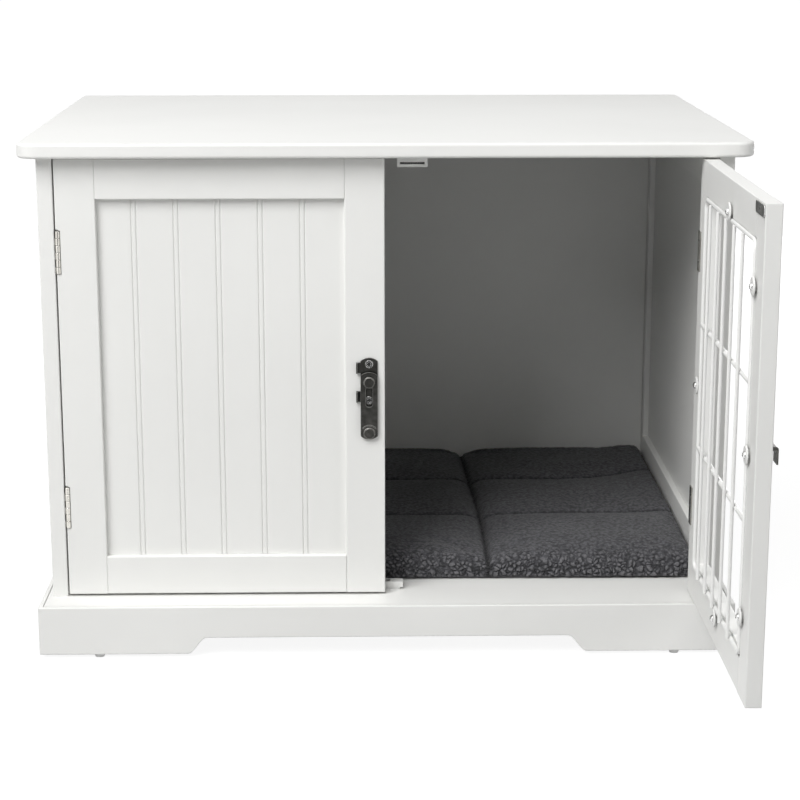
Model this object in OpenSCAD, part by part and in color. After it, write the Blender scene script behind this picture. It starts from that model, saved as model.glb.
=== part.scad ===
// Wooden pet crate with two hinged doors: the left one panelled, the right one with a wire grille.
// The doors face -Y. The origin is on the floor, below the middle of the top board's width and depth.
// The left door is modelled closed and the right door open, as the crate is shown in use.

/* [Cabinet] */
// Outside width across the two side frames
body_w = 692; // [560:1:900]
// Depth from the front edges of the sides to the back of the rear panel
body_d = 510; // [420:1:700]
// Height inside, from the floor panel to the underside of the top board
inside_h = 455; // [380:1:620]
// Thickness of the side frames
side_t = 15.5; // [15:0.5:22]
// Thickness of the rear panel
back_t = 15; // [10:0.5:20]
// Small rounding on the long edges of the boards
arris_r = 1; // [0.4:0.1:1.4]

/* [Top board] */
// Thickness of the top board
top_t = 15; // [12:0.5:25]
// How far the top reaches past each side
top_side_overhang = 18.5; // [5:0.5:40]
// How far the top reaches past the doors
top_front_overhang = 17; // [5:0.5:40]
// How far the top reaches past the rear panel
top_back_overhang = 3; // [0:0.5:20]
// Radius of the front corners in plan
top_front_corner_r = 20; // [8:1:50]
// Radius of the back corners in plan
top_back_corner_r = 5; // [4:1:30]
// Rounding along the board's upper and lower edges
top_edge_r = 3; // [0.5:0.1:3.5]

/* [Side frames] */
// Width of the front stile of a side
side_front_stile_w = 40; // [30:1:70]
// Width of the back stile of a side
side_back_stile_w = 30; // [28:1:90]
// Height of the upper rail of a side
side_top_rail_h = 40; // [30:1:80]
// Height of the lower rail of a side
side_bottom_rail_h = 44; // [30:1:80]
// Depth of the recess inside the cabin, from frame face to panel
side_panel_recess = 7; // [5:0.5:9]

/* [Grooved panels] */
// Thickness of the grooved panels
panel_t = 4; // [3:0.5:5]
// Depth of the groove in the frame members that holds a panel
frame_groove = 8; // [5:0.5:12]
// Gap around a panel edge inside its groove, across and at the bottom
panel_fit = 0.1; // [0.05:0.05:0.3]
// Room left at the bottom of the groove
panel_edge_gap = 1; // [0.5:0.5:3]
// Distance from one bead to the next
bead_pitch = 42; // [25:1:70]
// Width of the bead between its two fine grooves
bead_w = 4.8; // [3:0.2:10]
// Depth of each fine groove
bead_groove_d = 0.9; // [0.4:0.1:1.4]
// How far the left door's grooves sit from the middle of its panel, less than 0 towards the hinge
bead_shift = -2.5; // [-10:0.5:10]

/* [Plinth] */
// Height of the plinth boards
plinth_h = 50.5; // [40:0.5:90]
// Thickness of the plinth boards
plinth_t = 15; // [13:0.5:20]
// How far the plinth stands proud of each side
plinth_side_proud = 10.5; // [4:0.5:25]
// How far the plinth stands proud of the doors
plinth_front_proud = 37; // [22:0.5:60]
// Thickness of the floor panel that is let into the plinth
floor_t = 12; // [9:0.5:18]
// Thickness of the plinth's lip beside the floor panel
plinth_lip_t = 4.5; // [3:0.5:7]
// Open joint between that lip and the floor panel
floor_joint = 0.8; // [0.3:0.1:1.5]
// Half the width of the flat top of the front arch
arch_half_w = 185; // [100:1:240]
// Height of the front arch
arch_h = 17.5; // [8:0.5:26]
// Width of the curved shoulder at each end of the arch
arch_shoulder = 20.5; // [10:0.5:40]

/* [Glides] */
// Height of the glides under the plinth
glide_h = 4; // [3:0.5:20]
// Diameter of a glide at the plinth
glide_top_d = 12; // [8:0.5:14]
// Diameter of a glide at the floor
glide_foot_d = 9; // [6:0.5:13]
// Distance of a glide from the end of the plinth
glide_inset = 60.5; // [20:0.5:90]
// Diameter of the nail that holds a glide
glide_nail_d = 3; // [2:0.5:4]
// Length of that nail inside the plinth board
glide_nail_l = 14; // [8:1:25]

/* [Doors] */
// Thickness of the doors
door_t = 15; // [14:0.5:20]
// Gap between a door and the side that carries it
door_hinge_gap = 1.5; // [1.5:0.1:3]
// Gap between the two doors
door_meeting_gap = 4; // [2:0.5:8]
// Gap below the doors
door_bottom_gap = 2.5; // [1:0.5:6]
// Gap above the doors
door_top_gap = 2; // [1:0.5:6]
// Width of the door stiles and rails
door_frame_w = 40; // [34:1:70]
// Depth of the recess from the left door's face to its panel
door_panel_recess = 7; // [5:0.5:8]
// Angle at which the right door is shown open
right_door_angle = 90; // [0:1:110]

/* [Wire grille] */
// Width of the rebate around the inside of the right door
rebate_w = 6; // [5:0.5:10]
// Depth of that rebate
rebate_d = 2.4; // [2:0.1:3.2]
// Diameter of the border wire and the cross wires
border_wire_d = 4.5; // [3.8:0.1:5]
// Diameter of the upright wires
upright_wire_d = 3.5; // [2:0.1:5]
// Number of upright wires inside the border
upright_count = 5; // [3:1:9]
// Number of cross wires inside the border
cross_count = 2; // [1:1:4]
// How deep two crossing wires are welded into each other
weld_sink = 0.4; // [0.2:0.1:0.8]
// Bend radius of the border wire's corners
border_bend_r = 8; // [6:0.5:20]
// Gap between the border wire and the rebate's wall
grille_fit = 0.4; // [0.2:0.1:0.8]

/* [Grille clips] */
// Diameter of the round clips that hold the grille
clip_d = 17.5; // [14:0.5:20]
// Thickness of a clip's disc
clip_t = 1.6; // [1.2:0.1:3]
// Distance from the rebate's edge out to a clip's centre
clip_offset = 5; // [4:0.5:6]
// Distance of the upper and lower clips on the free stile from its ends
clip_end_inset = 75.2; // [40:0.5:120]
// Shift of the clips on the rails away from the middle upright
clip_side_shift = 8.5; // [6:0.5:14]
// Diameter of a clip screw's head
clip_screw_head_d = 7; // [5:0.5:9]

/* [Hinges] */
// Outside diameter of the knuckles
knuckle_d = 5; // [5:0.1:5.6]
// Length of the row of knuckles
knuckle_row = 43.2; // [30:0.6:60]
// Number of knuckles
knuckle_count = 6; // [4:2:8]
// Gap between neighbouring knuckles
knuckle_gap = 0.1; // [0.05:0.05:0.3]
// Diameter of the hinge pin
hinge_pin_d = 2.5; // [1.8:0.1:3]
// Radial play of the pin in the moving knuckles
hinge_play = 0.05; // [0.02:0.01:0.1]
// Thickness of the leaves
leaf_t = 1.2; // [0.8:0.1:1.2]
// Height of the leaves
leaf_h = 40; // [28:1:42]
// Width of the leaf on the side frame, from the pin's axis
frame_leaf_w = 17.3; // [14:0.1:24]
// Width of the leaf on the door's inner face
door_leaf_w = 12; // [10:0.5:18]
// Distance from the door's hinge edge to the pin's axis
pin_from_edge = 1.8; // [1.6:0.1:1.8]
// Distance from the door's outer face to the pin's axis
pin_from_face = 1; // [0.8:0.1:1.5]
// Distance from the door's ends to the middle of each hinge
hinge_inset = 93; // [60:1:130]
// Clearance around the knuckles in the door's notch
notch_gap = 0.3; // [0.3:0.1:1]
// Extra height of the notch above the knuckles
notch_head = 1.6; // [0.6:0.1:3]
// Distance between a leaf's two screws
leaf_screw_pitch = 21.6; // [16:0.2:30]
// Head diameter of the hinge screws
leaf_screw_head_d = 5.4; // [4.6:0.1:7]
// Length of the hinge screws
leaf_screw_l = 11; // [8:0.5:12]

/* [Latch] */
// Height of the latch pivot above the door's lower edge
latch_pivot_h = 224; // [150:1:320]
// Distance from the left door's free edge to the latch pivot
latch_inset = 16; // [12:0.5:25]
// Width of the swinging bar and its base plate
latch_w = 17.5; // [14:0.5:20]
// Length of the bar below the pivot
latch_bar_reach = 59.4; // [48:0.2:66]
// Length of the bar above the pivot
latch_tail = 10.7; // [9:0.1:14]
// Radius of the bar's domed ends
latch_end_r = 12.7; // [10.2:0.1:20]
// Thickness of the bar
latch_bar_t = 2; // [1.2:0.1:2.4]
// Thickness of the base plate
latch_base_t = 1.5; // [1:0.1:2]
// Gap between the bar and the base plate
latch_gap = 0.1; // [0.05:0.05:0.3]
// Height of the base plate above the pivot
latch_base_up = 25.3; // [22:0.1:32]
// Height of the base plate below the pivot
latch_base_down = 25.3; // [23:0.1:32]
// Radius of the rivet's head
rivet_head_r = 6; // [4.5:0.1:6.5]
// Radius of the rivet's shank
rivet_r = 2.5; // [1.5:0.1:3.5]
// Distance from the pivot to each screw of the base plate
latch_screw_reach = 18.7; // [16.5:0.1:20]
// Head diameter of the screws in the base plate
latch_screw_head_d = 7.8; // [6:0.1:8]
// Half the width of the window in the bar
latch_window_half_w = 3.5; // [2:0.05:4]
// Reach of the two stops past the base plate's edge
latch_stop_reach = 4; // [3:0.1:6]
// Height of each stop
latch_stop_h = 11; // [6:0.1:12]
// Clearance of the bar between the two stops
latch_stop_gap = 0.7; // [0.4:0.1:1.5]

/* [Keeper] */
// Width of the keeper
keeper_w = 16; // [12:0.5:24]
// Distance from the right door's free edge to the keeper's middle
keeper_inset = 18; // [14:0.5:24]
// Thickness of the keeper's sheet
keeper_t = 1.5; // [1:0.1:1.5]
// Depth of the slot that takes the bar
keeper_slot = 4.2; // [4.2:0.1:6]
// Gap between the latched bar and the keeper's closed top
keeper_top_gap = 0.9; // [0.5:0.1:2]
// Height of the keeper's closed top
keeper_top_h = 3.9; // [3.4:0.1:8]
// Length of the keeper's front lip below its top
keeper_lip_l = 16.5; // [12:0.5:20]
// Length of the keeper's back plate below its top
keeper_plate_l = 26.6; // [24:0.2:30]

/* [Catches] */
// Width of a top catch
catch_w = 30.5; // [24:0.5:40]
// Height of a top catch
catch_h = 12.6; // [10:0.2:18]
// Depth of a top catch
catch_d = 14; // [12:0.5:24]
// Distance from the middle of the crate to a top catch
catch_inset = 10.7; // [6:0.1:20]
// Gap between a closed door's strike plate and its catch
catch_gap = 0.4; // [0.2:0.1:1]
// Length of a strike plate
strike_l = 38; // [24:0.5:40]
// Height of a strike plate
strike_h = 10.5; // [8:0.5:12]
// Thickness of a strike plate
strike_t = 1.2; // [0.8:0.1:2]
// Distance from the door's free edge to its strike plate
strike_inset = 1; // [1:0.5:12]
// Distance from the door's top edge to its strike plate
strike_drop = 1.5; // [1:0.5:4]
// Half the width of the stop on the floor behind the doors
stop_half_w = 16.8; // [12:0.2:24]
// Height of that stop
stop_h = 8; // [7:0.1:20]
// Depth of that stop
stop_d = 11; // [11:0.5:24]

/* [Cushion] */
// Gap between the cushion and the walls
cushion_gap = 2; // [1:0.5:10]
// Gap between the cushion and the closed doors
cushion_front_gap = 29; // [20:1:110]
// Thickness of the cushion at its sewn seams
cushion_seam_t = 25; // [16:0.5:34]
// How much the middle of each quilted field rises above the seams
cushion_crown = 11; // [4:0.5:18]
// Rounding of the cushion's sides
cushion_side_r = 13; // [6:0.5:15]
// Number of quilted fields each way
cushion_fields = 3; // [2:1:4]

/* [Hidden] */
$fn = 32;

white_paint = [0.94, 0.94, 0.93];
white_wire = [0.9, 0.9, 0.9];
white_plastic = [0.88, 0.88, 0.86];
nickel = [0.72, 0.7, 0.66];
dark_steel = [0.28, 0.28, 0.28];
bright_steel = [0.62, 0.62, 0.63];
dowel_wood = [0.8, 0.66, 0.46];
grey_fleece = [0.3, 0.3, 0.32];
glide_grey = [0.8, 0.8, 0.8];

// Places that several pieces share
floor_z = glide_h + plinth_h;
top_z = floor_z + inside_h;
side_in_x = body_w / 2 - side_t;
front_y = top_front_overhang - (top_front_overhang + body_d + top_back_overhang) / 2;
back_y = front_y + body_d;
back_in_y = back_y - back_t;
top_w = body_w + 2 * top_side_overhang;
plinth_half_w = body_w / 2 + plinth_side_proud;
plinth_front_y = front_y - plinth_front_proud;

door_edge_x = side_in_x - door_hinge_gap;
door_w = door_edge_x - door_meeting_gap / 2;
door_z = floor_z + door_bottom_gap;
door_h = inside_h - door_bottom_gap - door_top_gap;
pin_x = door_edge_x - pin_from_edge;
pin_y = front_y + pin_from_face;
hinge_heights = [door_z + hinge_inset, door_z + door_h - hinge_inset];
latch_x = door_w - latch_inset;
latch_z = door_z + latch_pivot_h;

// The clearance that keeps a screw's plain shank free in its hole
screw_play = 0.05;
// The clearance round a pin or rivet that sits fast in its hole
pin_play = 0.02;
leaf_screw_d = 2.8;
clip_screw_d = 3;
latch_screw_d = 3.4;
knuckle_pitch = knuckle_row / knuckle_count;
latch_front = latch_base_t + latch_gap + latch_bar_t;

// Places a left door, or a part of the left hinge, given from the door's hinge edge and outer face
module at_left() {
    translate([-door_edge_x, front_y, 0]) children();
}

// The same place on the right, with the door closed
module at_right() {
    mirror([1, 0, 0]) at_left() children();
}

// The right door and what it carries, swung open about its hinge pins
module at_right_open() {
    translate([pin_x, pin_y, 0]) rotate([0, 0, right_door_angle]) translate([-pin_x, -pin_y, 0])
        at_right() children();
}

// A rectangle from the origin with all four corners rounded
module rounded_rect(size, r) {
    translate([r, 0]) square([size.x - 2 * r, size.y]);
    translate([0, r]) square([size.x, size.y - 2 * r]);
    for (x = [r, size.x - r], y = [r, size.y - r]) translate([x, y]) circle(r);
}

// A board that lies along X, from the origin, with its four long edges rounded
module level_board(l, t, h, r = arris_r) {
    rotate([90, 0, 90]) linear_extrude(l) rounded_rect([t, h], r);
}

// A countersunk screw that points along +Z, with the top of its head at the origin
module countersunk_screw(head_d, shank_d, l) {
    head_h = (head_d - shank_d) / 2;
    difference() {
        union() {
            cylinder(h = head_h, d1 = head_d, d2 = shank_d);
            cylinder(h = l - shank_d / 2, d = shank_d);
            translate([0, 0, l - shank_d / 2]) cylinder(h = shank_d / 2, d1 = shank_d, d2 = shank_d / 4);
        }
        cross_recess(head_d * 0.58, head_h * 0.6);
    }
}

// A domed screw that points along +Z, with the underside of its head at the origin
module domed_screw(head_d, shank_d, l) {
    head_h = head_d * 0.35;
    difference() {
        union() {
            intersection() {
                translate([0, 0, -head_h]) cylinder(h = head_h, d = head_d);
                dome_r = (pow(head_d / 2, 2) + pow(head_h, 2)) / (2 * head_h);
                translate([0, 0, dome_r - head_h]) sphere(dome_r);
            }
            cylinder(h = l, d = shank_d);
        }
        translate([0, 0, -head_h]) cross_recess(head_d * 0.5, head_h * 0.6);
    }
}

// The driver recess, a cross about a round well, cut from the origin towards +Z
module cross_recess(w, depth) {
    slot = w * 0.26;
    translate([0, 0, -1]) cylinder(h = depth + 1, d = w * 0.7, $fn = 16);
    for (a = [0, 90]) rotate([0, 0, a]) translate([-w / 2, -slot / 2, -1]) cube([w, slot, depth + 1]);
}

// The hole that a countersunk screw needs, with the same play all over
module countersunk_hole(head_d, shank_d, l) {
    head_h = (head_d - shank_d) / 2;
    wide = head_d + 2 * screw_play;
    narrow = shank_d + 2 * screw_play;
    translate([0, 0, -1]) cylinder(h = 1 + screw_play, d = wide);
    translate([0, 0, screw_play]) cylinder(h = head_h, d1 = wide, d2 = narrow);
    cylinder(h = l + 2 * screw_play, d = narrow);
}

// A disc from the origin towards -Z, chamfered round its outer face
module chamfered_disc(r, h, chamfer) {
    translate([0, 0, chamfer - h]) cylinder(h = h - chamfer, r = r);
    translate([0, 0, -h]) cylinder(h = chamfer, r1 = r - chamfer, r2 = r);
}

// Top board

// One corner of the top board: a disc with a rounded rim
module top_corner(r) {
    rotate_extrude() {
        square([r - top_edge_r, top_t]);
        translate([0, top_edge_r]) square([r, top_t - 2 * top_edge_r]);
        for (z = [top_edge_r, top_t - top_edge_r]) intersection() {
            translate([r - top_edge_r, z]) circle(top_edge_r);
            square([r, top_t]);
        }
    }
}

module top_panel() {
    front = front_y - top_front_overhang;
    back = back_y + top_back_overhang;
    fr = top_front_corner_r;
    br = top_back_corner_r;
    color(white_paint) difference() {
        translate([0, 0, top_z]) union() {
            // The full width, between the front and the back corners
            translate([-top_w / 2, back - br, 0]) rotate([90, 0, 0]) linear_extrude(back - front - fr - br)
                rounded_rect([top_w, top_t], top_edge_r);
            // The full depth, between the left and the right corners
            translate([-top_w / 2 + fr, 0, 0]) rotate([90, 0, 90]) linear_extrude(top_w - 2 * fr)
                translate([front, 0]) rounded_rect([back - front, top_t], top_edge_r);
            // The back edge runs further out, because its corners are tighter
            translate([-top_w / 2 + br, 0, 0]) rotate([90, 0, 90]) linear_extrude(top_w - 2 * br)
                translate([back - 2 * fr, 0]) rounded_rect([2 * fr, top_t], top_edge_r);
            for (x = [-1, 1]) {
                translate([x * (top_w / 2 - fr), front + fr, 0]) top_corner(fr);
                translate([x * (top_w / 2 - br), back - br, 0]) top_corner(br);
            }
        }
        top_dowel_places() dowel_hole();
        catch_screw_places() cylinder(h = catch_screw_l + 1, d = clip_screw_d + 2 * screw_play);
    }
}

// Side frames: a stile or rail has a groove for the panel in the middle of its inner edge

side_panel_out = side_t - side_panel_recess - panel_t;
side_rail_y = front_y + side_front_stile_w;
side_rail_l = body_d - side_front_stile_w - side_back_stile_w;
side_panel_h = inside_h - side_top_rail_h - side_bottom_rail_h;

// A side member's section with X through the thickness from the outside and Y from its groove's edge
module side_section(w) {
    difference() {
        rounded_rect([side_t, w], arris_r);
        translate([side_panel_out - panel_fit, -1]) square([panel_t + 2 * panel_fit, frame_groove + 1]);
    }
}

module side_stile(y, w, turned) {
    translate([-body_w / 2, y, floor_z]) linear_extrude(inside_h)
        translate([0, turned ? w : 0]) mirror([0, turned ? 1 : 0]) side_section(w);
}

// A rail between the stiles, with a tongue at each end that fits the stiles' grooves
module side_rail(z, h, turned) {
    tongue = frame_groove - panel_edge_gap;
    translate([-body_w / 2, side_rail_y, z]) {
        translate([0, side_rail_l, turned ? h : 0]) mirror([0, 0, turned ? 1 : 0])
            rotate([90, 0, 0]) linear_extrude(side_rail_l) side_section(h);
        low = turned ? 0 : frame_groove + panel_edge_gap;
        for (y = [-tongue, side_rail_l]) translate([side_panel_out, y, low])
            cube([panel_t, tongue, h - frame_groove - panel_edge_gap]);
    }
}

// The fine paired grooves of a panel, cut into the edge y = 0 of its section, about x = 0
module bead_grooves(w) {
    pairs = floor((w / 2 - bead_w) / bead_pitch);
    for (i = [-pairs : pairs], side = [-1, 1])
        translate([i * bead_pitch + side * bead_w / 2, 0]) rotate(45)
            square(bead_groove_d * sqrt(2), center = true);
}

// A grooved panel that stands upright, with X along its width and Y through it from its outer face
module grooved_panel(opening_w, opening_h, shift = 0) {
    reach = frame_groove - panel_edge_gap;
    translate([0, 0, -reach]) linear_extrude(opening_h + 2 * reach) difference() {
        translate([-reach, 0]) square([opening_w + 2 * reach, panel_t]);
        translate([opening_w / 2 + shift, 0]) bead_grooves(opening_w);
    }
}

module left_front_stile_solid() {
    difference() {
        side_stile(front_y, side_front_stile_w, true);
        at_left() for (z = hinge_heights) translate([0, 0, z]) frame_screw_places()
            countersunk_hole(leaf_screw_head_d, leaf_screw_d, leaf_screw_l);
        floor_screw_places() cylinder(h = floor_screw_l + 1, d = floor_screw_d + 2 * screw_play);
        top_dowel_places() dowel_hole();
    }
}

module left_back_stile_solid() {
    difference() {
        side_stile(back_y - side_back_stile_w, side_back_stile_w, false);
        floor_screw_places() cylinder(h = floor_screw_l + 1, d = floor_screw_d + 2 * screw_play);
        top_dowel_places() dowel_hole();
    }
}

module left_bottom_rail_solid() {
    difference() {
        side_rail(floor_z, side_bottom_rail_h, true);
        floor_screw_places() cylinder(h = floor_screw_l + 1, d = floor_screw_d + 2 * screw_play);
    }
}

module left_top_rail_solid() {
    difference() {
        side_rail(top_z - side_top_rail_h, side_top_rail_h, false);
        top_dowel_places() dowel_hole();
    }
}

module left_side_panel_solid() {
    translate([-body_w / 2 + side_panel_out, side_rail_y + side_rail_l, floor_z + side_bottom_rail_h])
        rotate([0, 0, -90]) grooved_panel(side_rail_l, side_panel_h);
}

module left_side_front_stile() {
    color(white_paint) left_front_stile_solid();
}

module left_side_back_stile() {
    color(white_paint) left_back_stile_solid();
}

module left_side_top_rail() {
    color(white_paint) left_top_rail_solid();
}

module left_side_bottom_rail() {
    color(white_paint) left_bottom_rail_solid();
}

module left_side_panel() {
    color(white_paint) left_side_panel_solid();
}

module right_side_front_stile() {
    color(white_paint) mirror([1, 0, 0]) left_front_stile_solid();
}

module right_side_back_stile() {
    color(white_paint) mirror([1, 0, 0]) left_back_stile_solid();
}

module right_side_top_rail() {
    color(white_paint) mirror([1, 0, 0]) left_top_rail_solid();
}

module right_side_bottom_rail() {
    color(white_paint) mirror([1, 0, 0]) left_bottom_rail_solid();
}

module right_side_panel() {
    color(white_paint) mirror([1, 0, 0]) left_side_panel_solid();
}

// Back, floor and plinth

// Joint left between the rear panel and the sides
back_joint = 0.2;

module back_panel() {
    w = 2 * (side_in_x - back_joint);
    color(white_paint) difference() {
        translate([-w / 2, back_in_y, floor_z]) level_board(w, back_t, inside_h);
        back_screw_places() cylinder(h = floor_screw_l + 1, d = floor_screw_d + 2 * screw_play);
    }
}

floor_half_w = plinth_half_w - plinth_lip_t - floor_joint;
floor_front_y = plinth_front_y + plinth_lip_t + floor_joint;

module floor_panel() {
    color(white_paint) difference() {
        translate([-floor_half_w, floor_front_y, floor_z - floor_t])
            cube([2 * floor_half_w, back_y - floor_front_y, floor_t]);
        floor_screw_places() countersunk_hole(floor_screw_head_d, floor_screw_d, floor_screw_l);
        mirror([1, 0, 0]) floor_screw_places()
            countersunk_hole(floor_screw_head_d, floor_screw_d, floor_screw_l);
        back_screw_places() countersunk_hole(floor_screw_head_d, floor_screw_d, floor_screw_l);
        stop_screw_place() cylinder(h = stop_screw_l, d = clip_screw_d + 2 * screw_play);
    }
}

// Section of a plinth board, with X from its outer face inwards and Y up from its lower edge
module plinth_section() {
    r = arris_r;
    shelf = plinth_h - floor_t;
    difference() {
        square([plinth_t, shelf]);
        square([r, r]);
    }
    translate([r, r]) circle(r);
    translate([0, shelf - 1]) square([plinth_lip_t, floor_t + 1 - r]);
    translate([r, plinth_h - r]) square([plinth_lip_t - r, r]);
    translate([r, plinth_h - r]) circle(r);
}

// Half of the arch's outline: a flat top that falls to the lower edge in a smooth double curve
function arch_shoulder_points() = [
    for (i = [0 : 10])
        [arch_half_w + arch_shoulder * i / 10, arch_h * (1 + cos(180 * i / 10)) / 2]
];

module arch_outline() {
    half = arch_shoulder_points();
    polygon(concat(
        [[half[10].x, -1]],
        [for (i = [10 : -1 : 0]) half[i]],
        [for (i = [0 : 10]) [-half[i].x, half[i].y]],
        [[-half[10].x, -1]]
    ));
}

module glide_places() {
    for (x = [-1, 1]) {
        translate([x * (plinth_half_w - glide_inset), plinth_front_y + plinth_t / 2, glide_h]) children();
        translate([x * (plinth_half_w - glide_inset), back_y - plinth_t / 2, glide_h]) children();
    }
}

module glide_nail_hole() {
    translate([0, 0, -1]) cylinder(h = glide_nail_l + 2, d = glide_nail_d + 2 * screw_play);
}

module plinth_front() {
    color(white_paint) difference() {
        union() {
            translate([-plinth_half_w, plinth_front_y, glide_h])
                rotate([90, 0, 90]) linear_extrude(2 * plinth_half_w) plinth_section();
            // The lip returns along the board's ends, level with the lips of the side boards
            for (x = [-plinth_half_w, plinth_half_w - plinth_lip_t])
                translate([x, plinth_front_y + plinth_lip_t - 1, floor_z - floor_t])
                    cube([plinth_lip_t, plinth_t - plinth_lip_t + 1, floor_t]);
        }
        translate([0, plinth_front_y + plinth_t + 1, glide_h])
            rotate([90, 0, 0]) linear_extrude(plinth_t + 2) arch_outline();
        glide_places() glide_nail_hole();
    }
}

module plinth_side_solid() {
    l = back_y - plinth_front_y - plinth_t;
    translate([-plinth_half_w, back_y, glide_h]) rotate([90, 0, 0]) linear_extrude(l) plinth_section();
}

module plinth_left() {
    color(white_paint) plinth_side_solid();
}

module plinth_right() {
    color(white_paint) mirror([1, 0, 0]) plinth_side_solid();
}

module plinth_back() {
    w = 2 * (plinth_half_w - plinth_t);
    color(white_paint) difference() {
        translate([-w / 2, back_y - plinth_t, glide_h]) level_board(w, plinth_t, plinth_h - floor_t);
        glide_places() glide_nail_hole();
    }
}

module glides() {
    color(glide_grey) glide_places() {
        translate([0, 0, -glide_h]) cylinder(h = glide_h, d1 = glide_foot_d, d2 = glide_top_d);
        translate([0, 0, -1]) cylinder(h = glide_nail_l + 1, d = glide_nail_d);
    }
}

// Doors: X runs from the hinge edge, Y from the outer face inwards, and Z is the real height

door_in_w = door_w - 2 * door_frame_w;
door_in_h = door_h - 2 * door_frame_w;

// Section of a member of the left door, with its groove in the edge y = 0 and X through the thickness
module door_groove_section(w) {
    difference() {
        rounded_rect([door_t, w], arris_r);
        translate([door_panel_recess - panel_fit, -1]) square([panel_t + 2 * panel_fit, frame_groove + 1]);
    }
}

// Section of a member of the right door, before its rebate and dowel holes are cut
module door_plain_section(w) {
    rounded_rect([door_t, w], arris_r);
}

// What is cut from the right door's frame once it is joined: the rebate, and holes for the fasteners
module right_frame_cuts() {
    edge = door_frame_w - rebate_w;
    translate([edge, door_t - rebate_d, door_z + edge])
        cube([door_w - 2 * edge, rebate_d + 1, door_h - 2 * edge]);
    clip_places() clip_screw_hole();
    door_dowel_places() translate([0, 0, -dowel_play])
        cylinder(h = door_dowel_l + 2 * dowel_play, d = door_dowel_d + 2 * dowel_play);
}

// A stile whose inner edge is at X = w, built from the door's lower edge up
module door_stile_blank() {
    translate([door_frame_w, 0, door_z]) rotate([0, 0, 90]) linear_extrude(door_h) children();
}

// A lower rail between the stiles, whose groove or rebate faces up
module door_rail_blank() {
    translate([door_w - door_frame_w, 0, door_z + door_frame_w]) rotate([-90, 0, 90])
        linear_extrude(door_in_w) children();
}

// Turns a lower rail into an upper one
module at_door_top() {
    translate([0, 0, 2 * door_z + door_h]) mirror([0, 0, 1]) children();
}

// Turns a hinge stile into a free stile
module at_free_edge() {
    translate([door_w, 0, 0]) mirror([1, 0, 0]) children();
}

// The room that the hinges need in a door's hinge stile
module hinge_cutouts() {
    notch_x = pin_from_edge + knuckle_d / 2 + notch_gap;
    notch_y = pin_from_face + knuckle_d / 2 + notch_gap;
    for (z = hinge_heights) translate([0, 0, z]) {
        // The notch for the knuckles, with a rounded head
        translate([-1, -1, -knuckle_row / 2 - notch_gap])
            cube([notch_x + 1, notch_y + 1, knuckle_row + 2 * notch_gap]);
        intersection() {
            translate([-1, -1, knuckle_row / 2]) cube([notch_x + 1, notch_y + 1, notch_head]);
            translate([0, 0, knuckle_row / 2 + notch_gap + notch_head - notch_x]) rotate([-90, 0, 0])
                translate([0, 0, -1]) cylinder(h = notch_y + 1, r = notch_x, $fn = 48);
        }
        // The recess for the leaf that wraps the edge
        translate([-1, 0, -leaf_h / 2 - screw_play])
            cube([leaf_t + screw_play + 1, door_t + 1, leaf_h + 2 * screw_play]);
        door_screw_places() countersunk_hole(leaf_screw_head_d, leaf_screw_d, leaf_screw_l);
    }
}

module strike_screw_place() {
    height = door_z + door_h - strike_drop - strike_h / 2;
    translate([door_w - strike_inset - strike_l / 2, door_t + strike_t, height])
        rotate([90, 0, 0]) children();
}

strike_screw_l = 11;

module left_door_hinge_stile() {
    color(white_paint) at_left() difference() {
        door_stile_blank() door_groove_section(door_frame_w);
        hinge_cutouts();
    }
}

module left_door_free_stile() {
    color(white_paint) at_left() difference() {
        at_free_edge() door_stile_blank() door_groove_section(door_frame_w);
        latch_base_screw_places() countersunk_hole(latch_screw_head_d, latch_screw_d, latch_screw_l);
        strike_screw_place() countersunk_hole(leaf_screw_head_d, leaf_screw_d, strike_screw_l);
    }
}

// A rail of the left door, with its tongues
module left_rail_solid() {
    tongue = frame_groove - panel_edge_gap;
    door_rail_blank() door_groove_section(door_frame_w);
    for (x = [door_frame_w - tongue, door_frame_w + door_in_w])
        translate([x, door_panel_recess, door_z + panel_edge_gap])
            cube([tongue, panel_t, door_frame_w - frame_groove - panel_edge_gap]);
}

module left_door_top_rail() {
    color(white_paint) at_left() at_door_top() left_rail_solid();
}

module left_door_bottom_rail() {
    color(white_paint) at_left() left_rail_solid();
}

module left_door_panel() {
    color(white_paint) at_left() translate([door_frame_w, door_panel_recess, door_z + door_frame_w])
        grooved_panel(door_in_w, door_in_h, bead_shift);
}

module right_door_hinge_stile() {
    color(white_paint) at_right_open() difference() {
        door_stile_blank() door_plain_section(door_frame_w);
        hinge_cutouts();
        right_frame_cuts();
    }
}

module right_door_free_stile() {
    color(white_paint) at_right_open() difference() {
        at_free_edge() door_stile_blank() door_plain_section(door_frame_w);
        right_frame_cuts();
        strike_screw_place() countersunk_hole(leaf_screw_head_d, leaf_screw_d, strike_screw_l);
        keeper_screw_places() cylinder(h = keeper_screw_l, d = leaf_screw_d + 2 * screw_play);
    }
}

module right_door_top_rail() {
    color(white_paint) at_right_open() difference() {
        at_door_top() door_rail_blank() door_plain_section(door_frame_w);
        right_frame_cuts();
    }
}

module right_door_bottom_rail() {
    color(white_paint) at_right_open() difference() {
        door_rail_blank() door_plain_section(door_frame_w);
        right_frame_cuts();
    }
}

// Two dowels join each corner of the right door's frame, below the rebate
module door_dowel_places() {
    for (x = [door_frame_w, door_w - door_frame_w], z = [0.3, 0.7], end = [0, 1])
        translate([x - door_dowel_l / 2, (door_t - rebate_d) / 2,
            door_z + (end == 0 ? z * door_frame_w : door_h - z * door_frame_w)])
            rotate([0, 90, 0]) children();
}

module right_door_dowels() {
    color(dowel_wood) at_right_open() door_dowel_places() cylinder(h = door_dowel_l, d = door_dowel_d);
}

// Wire grille

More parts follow.
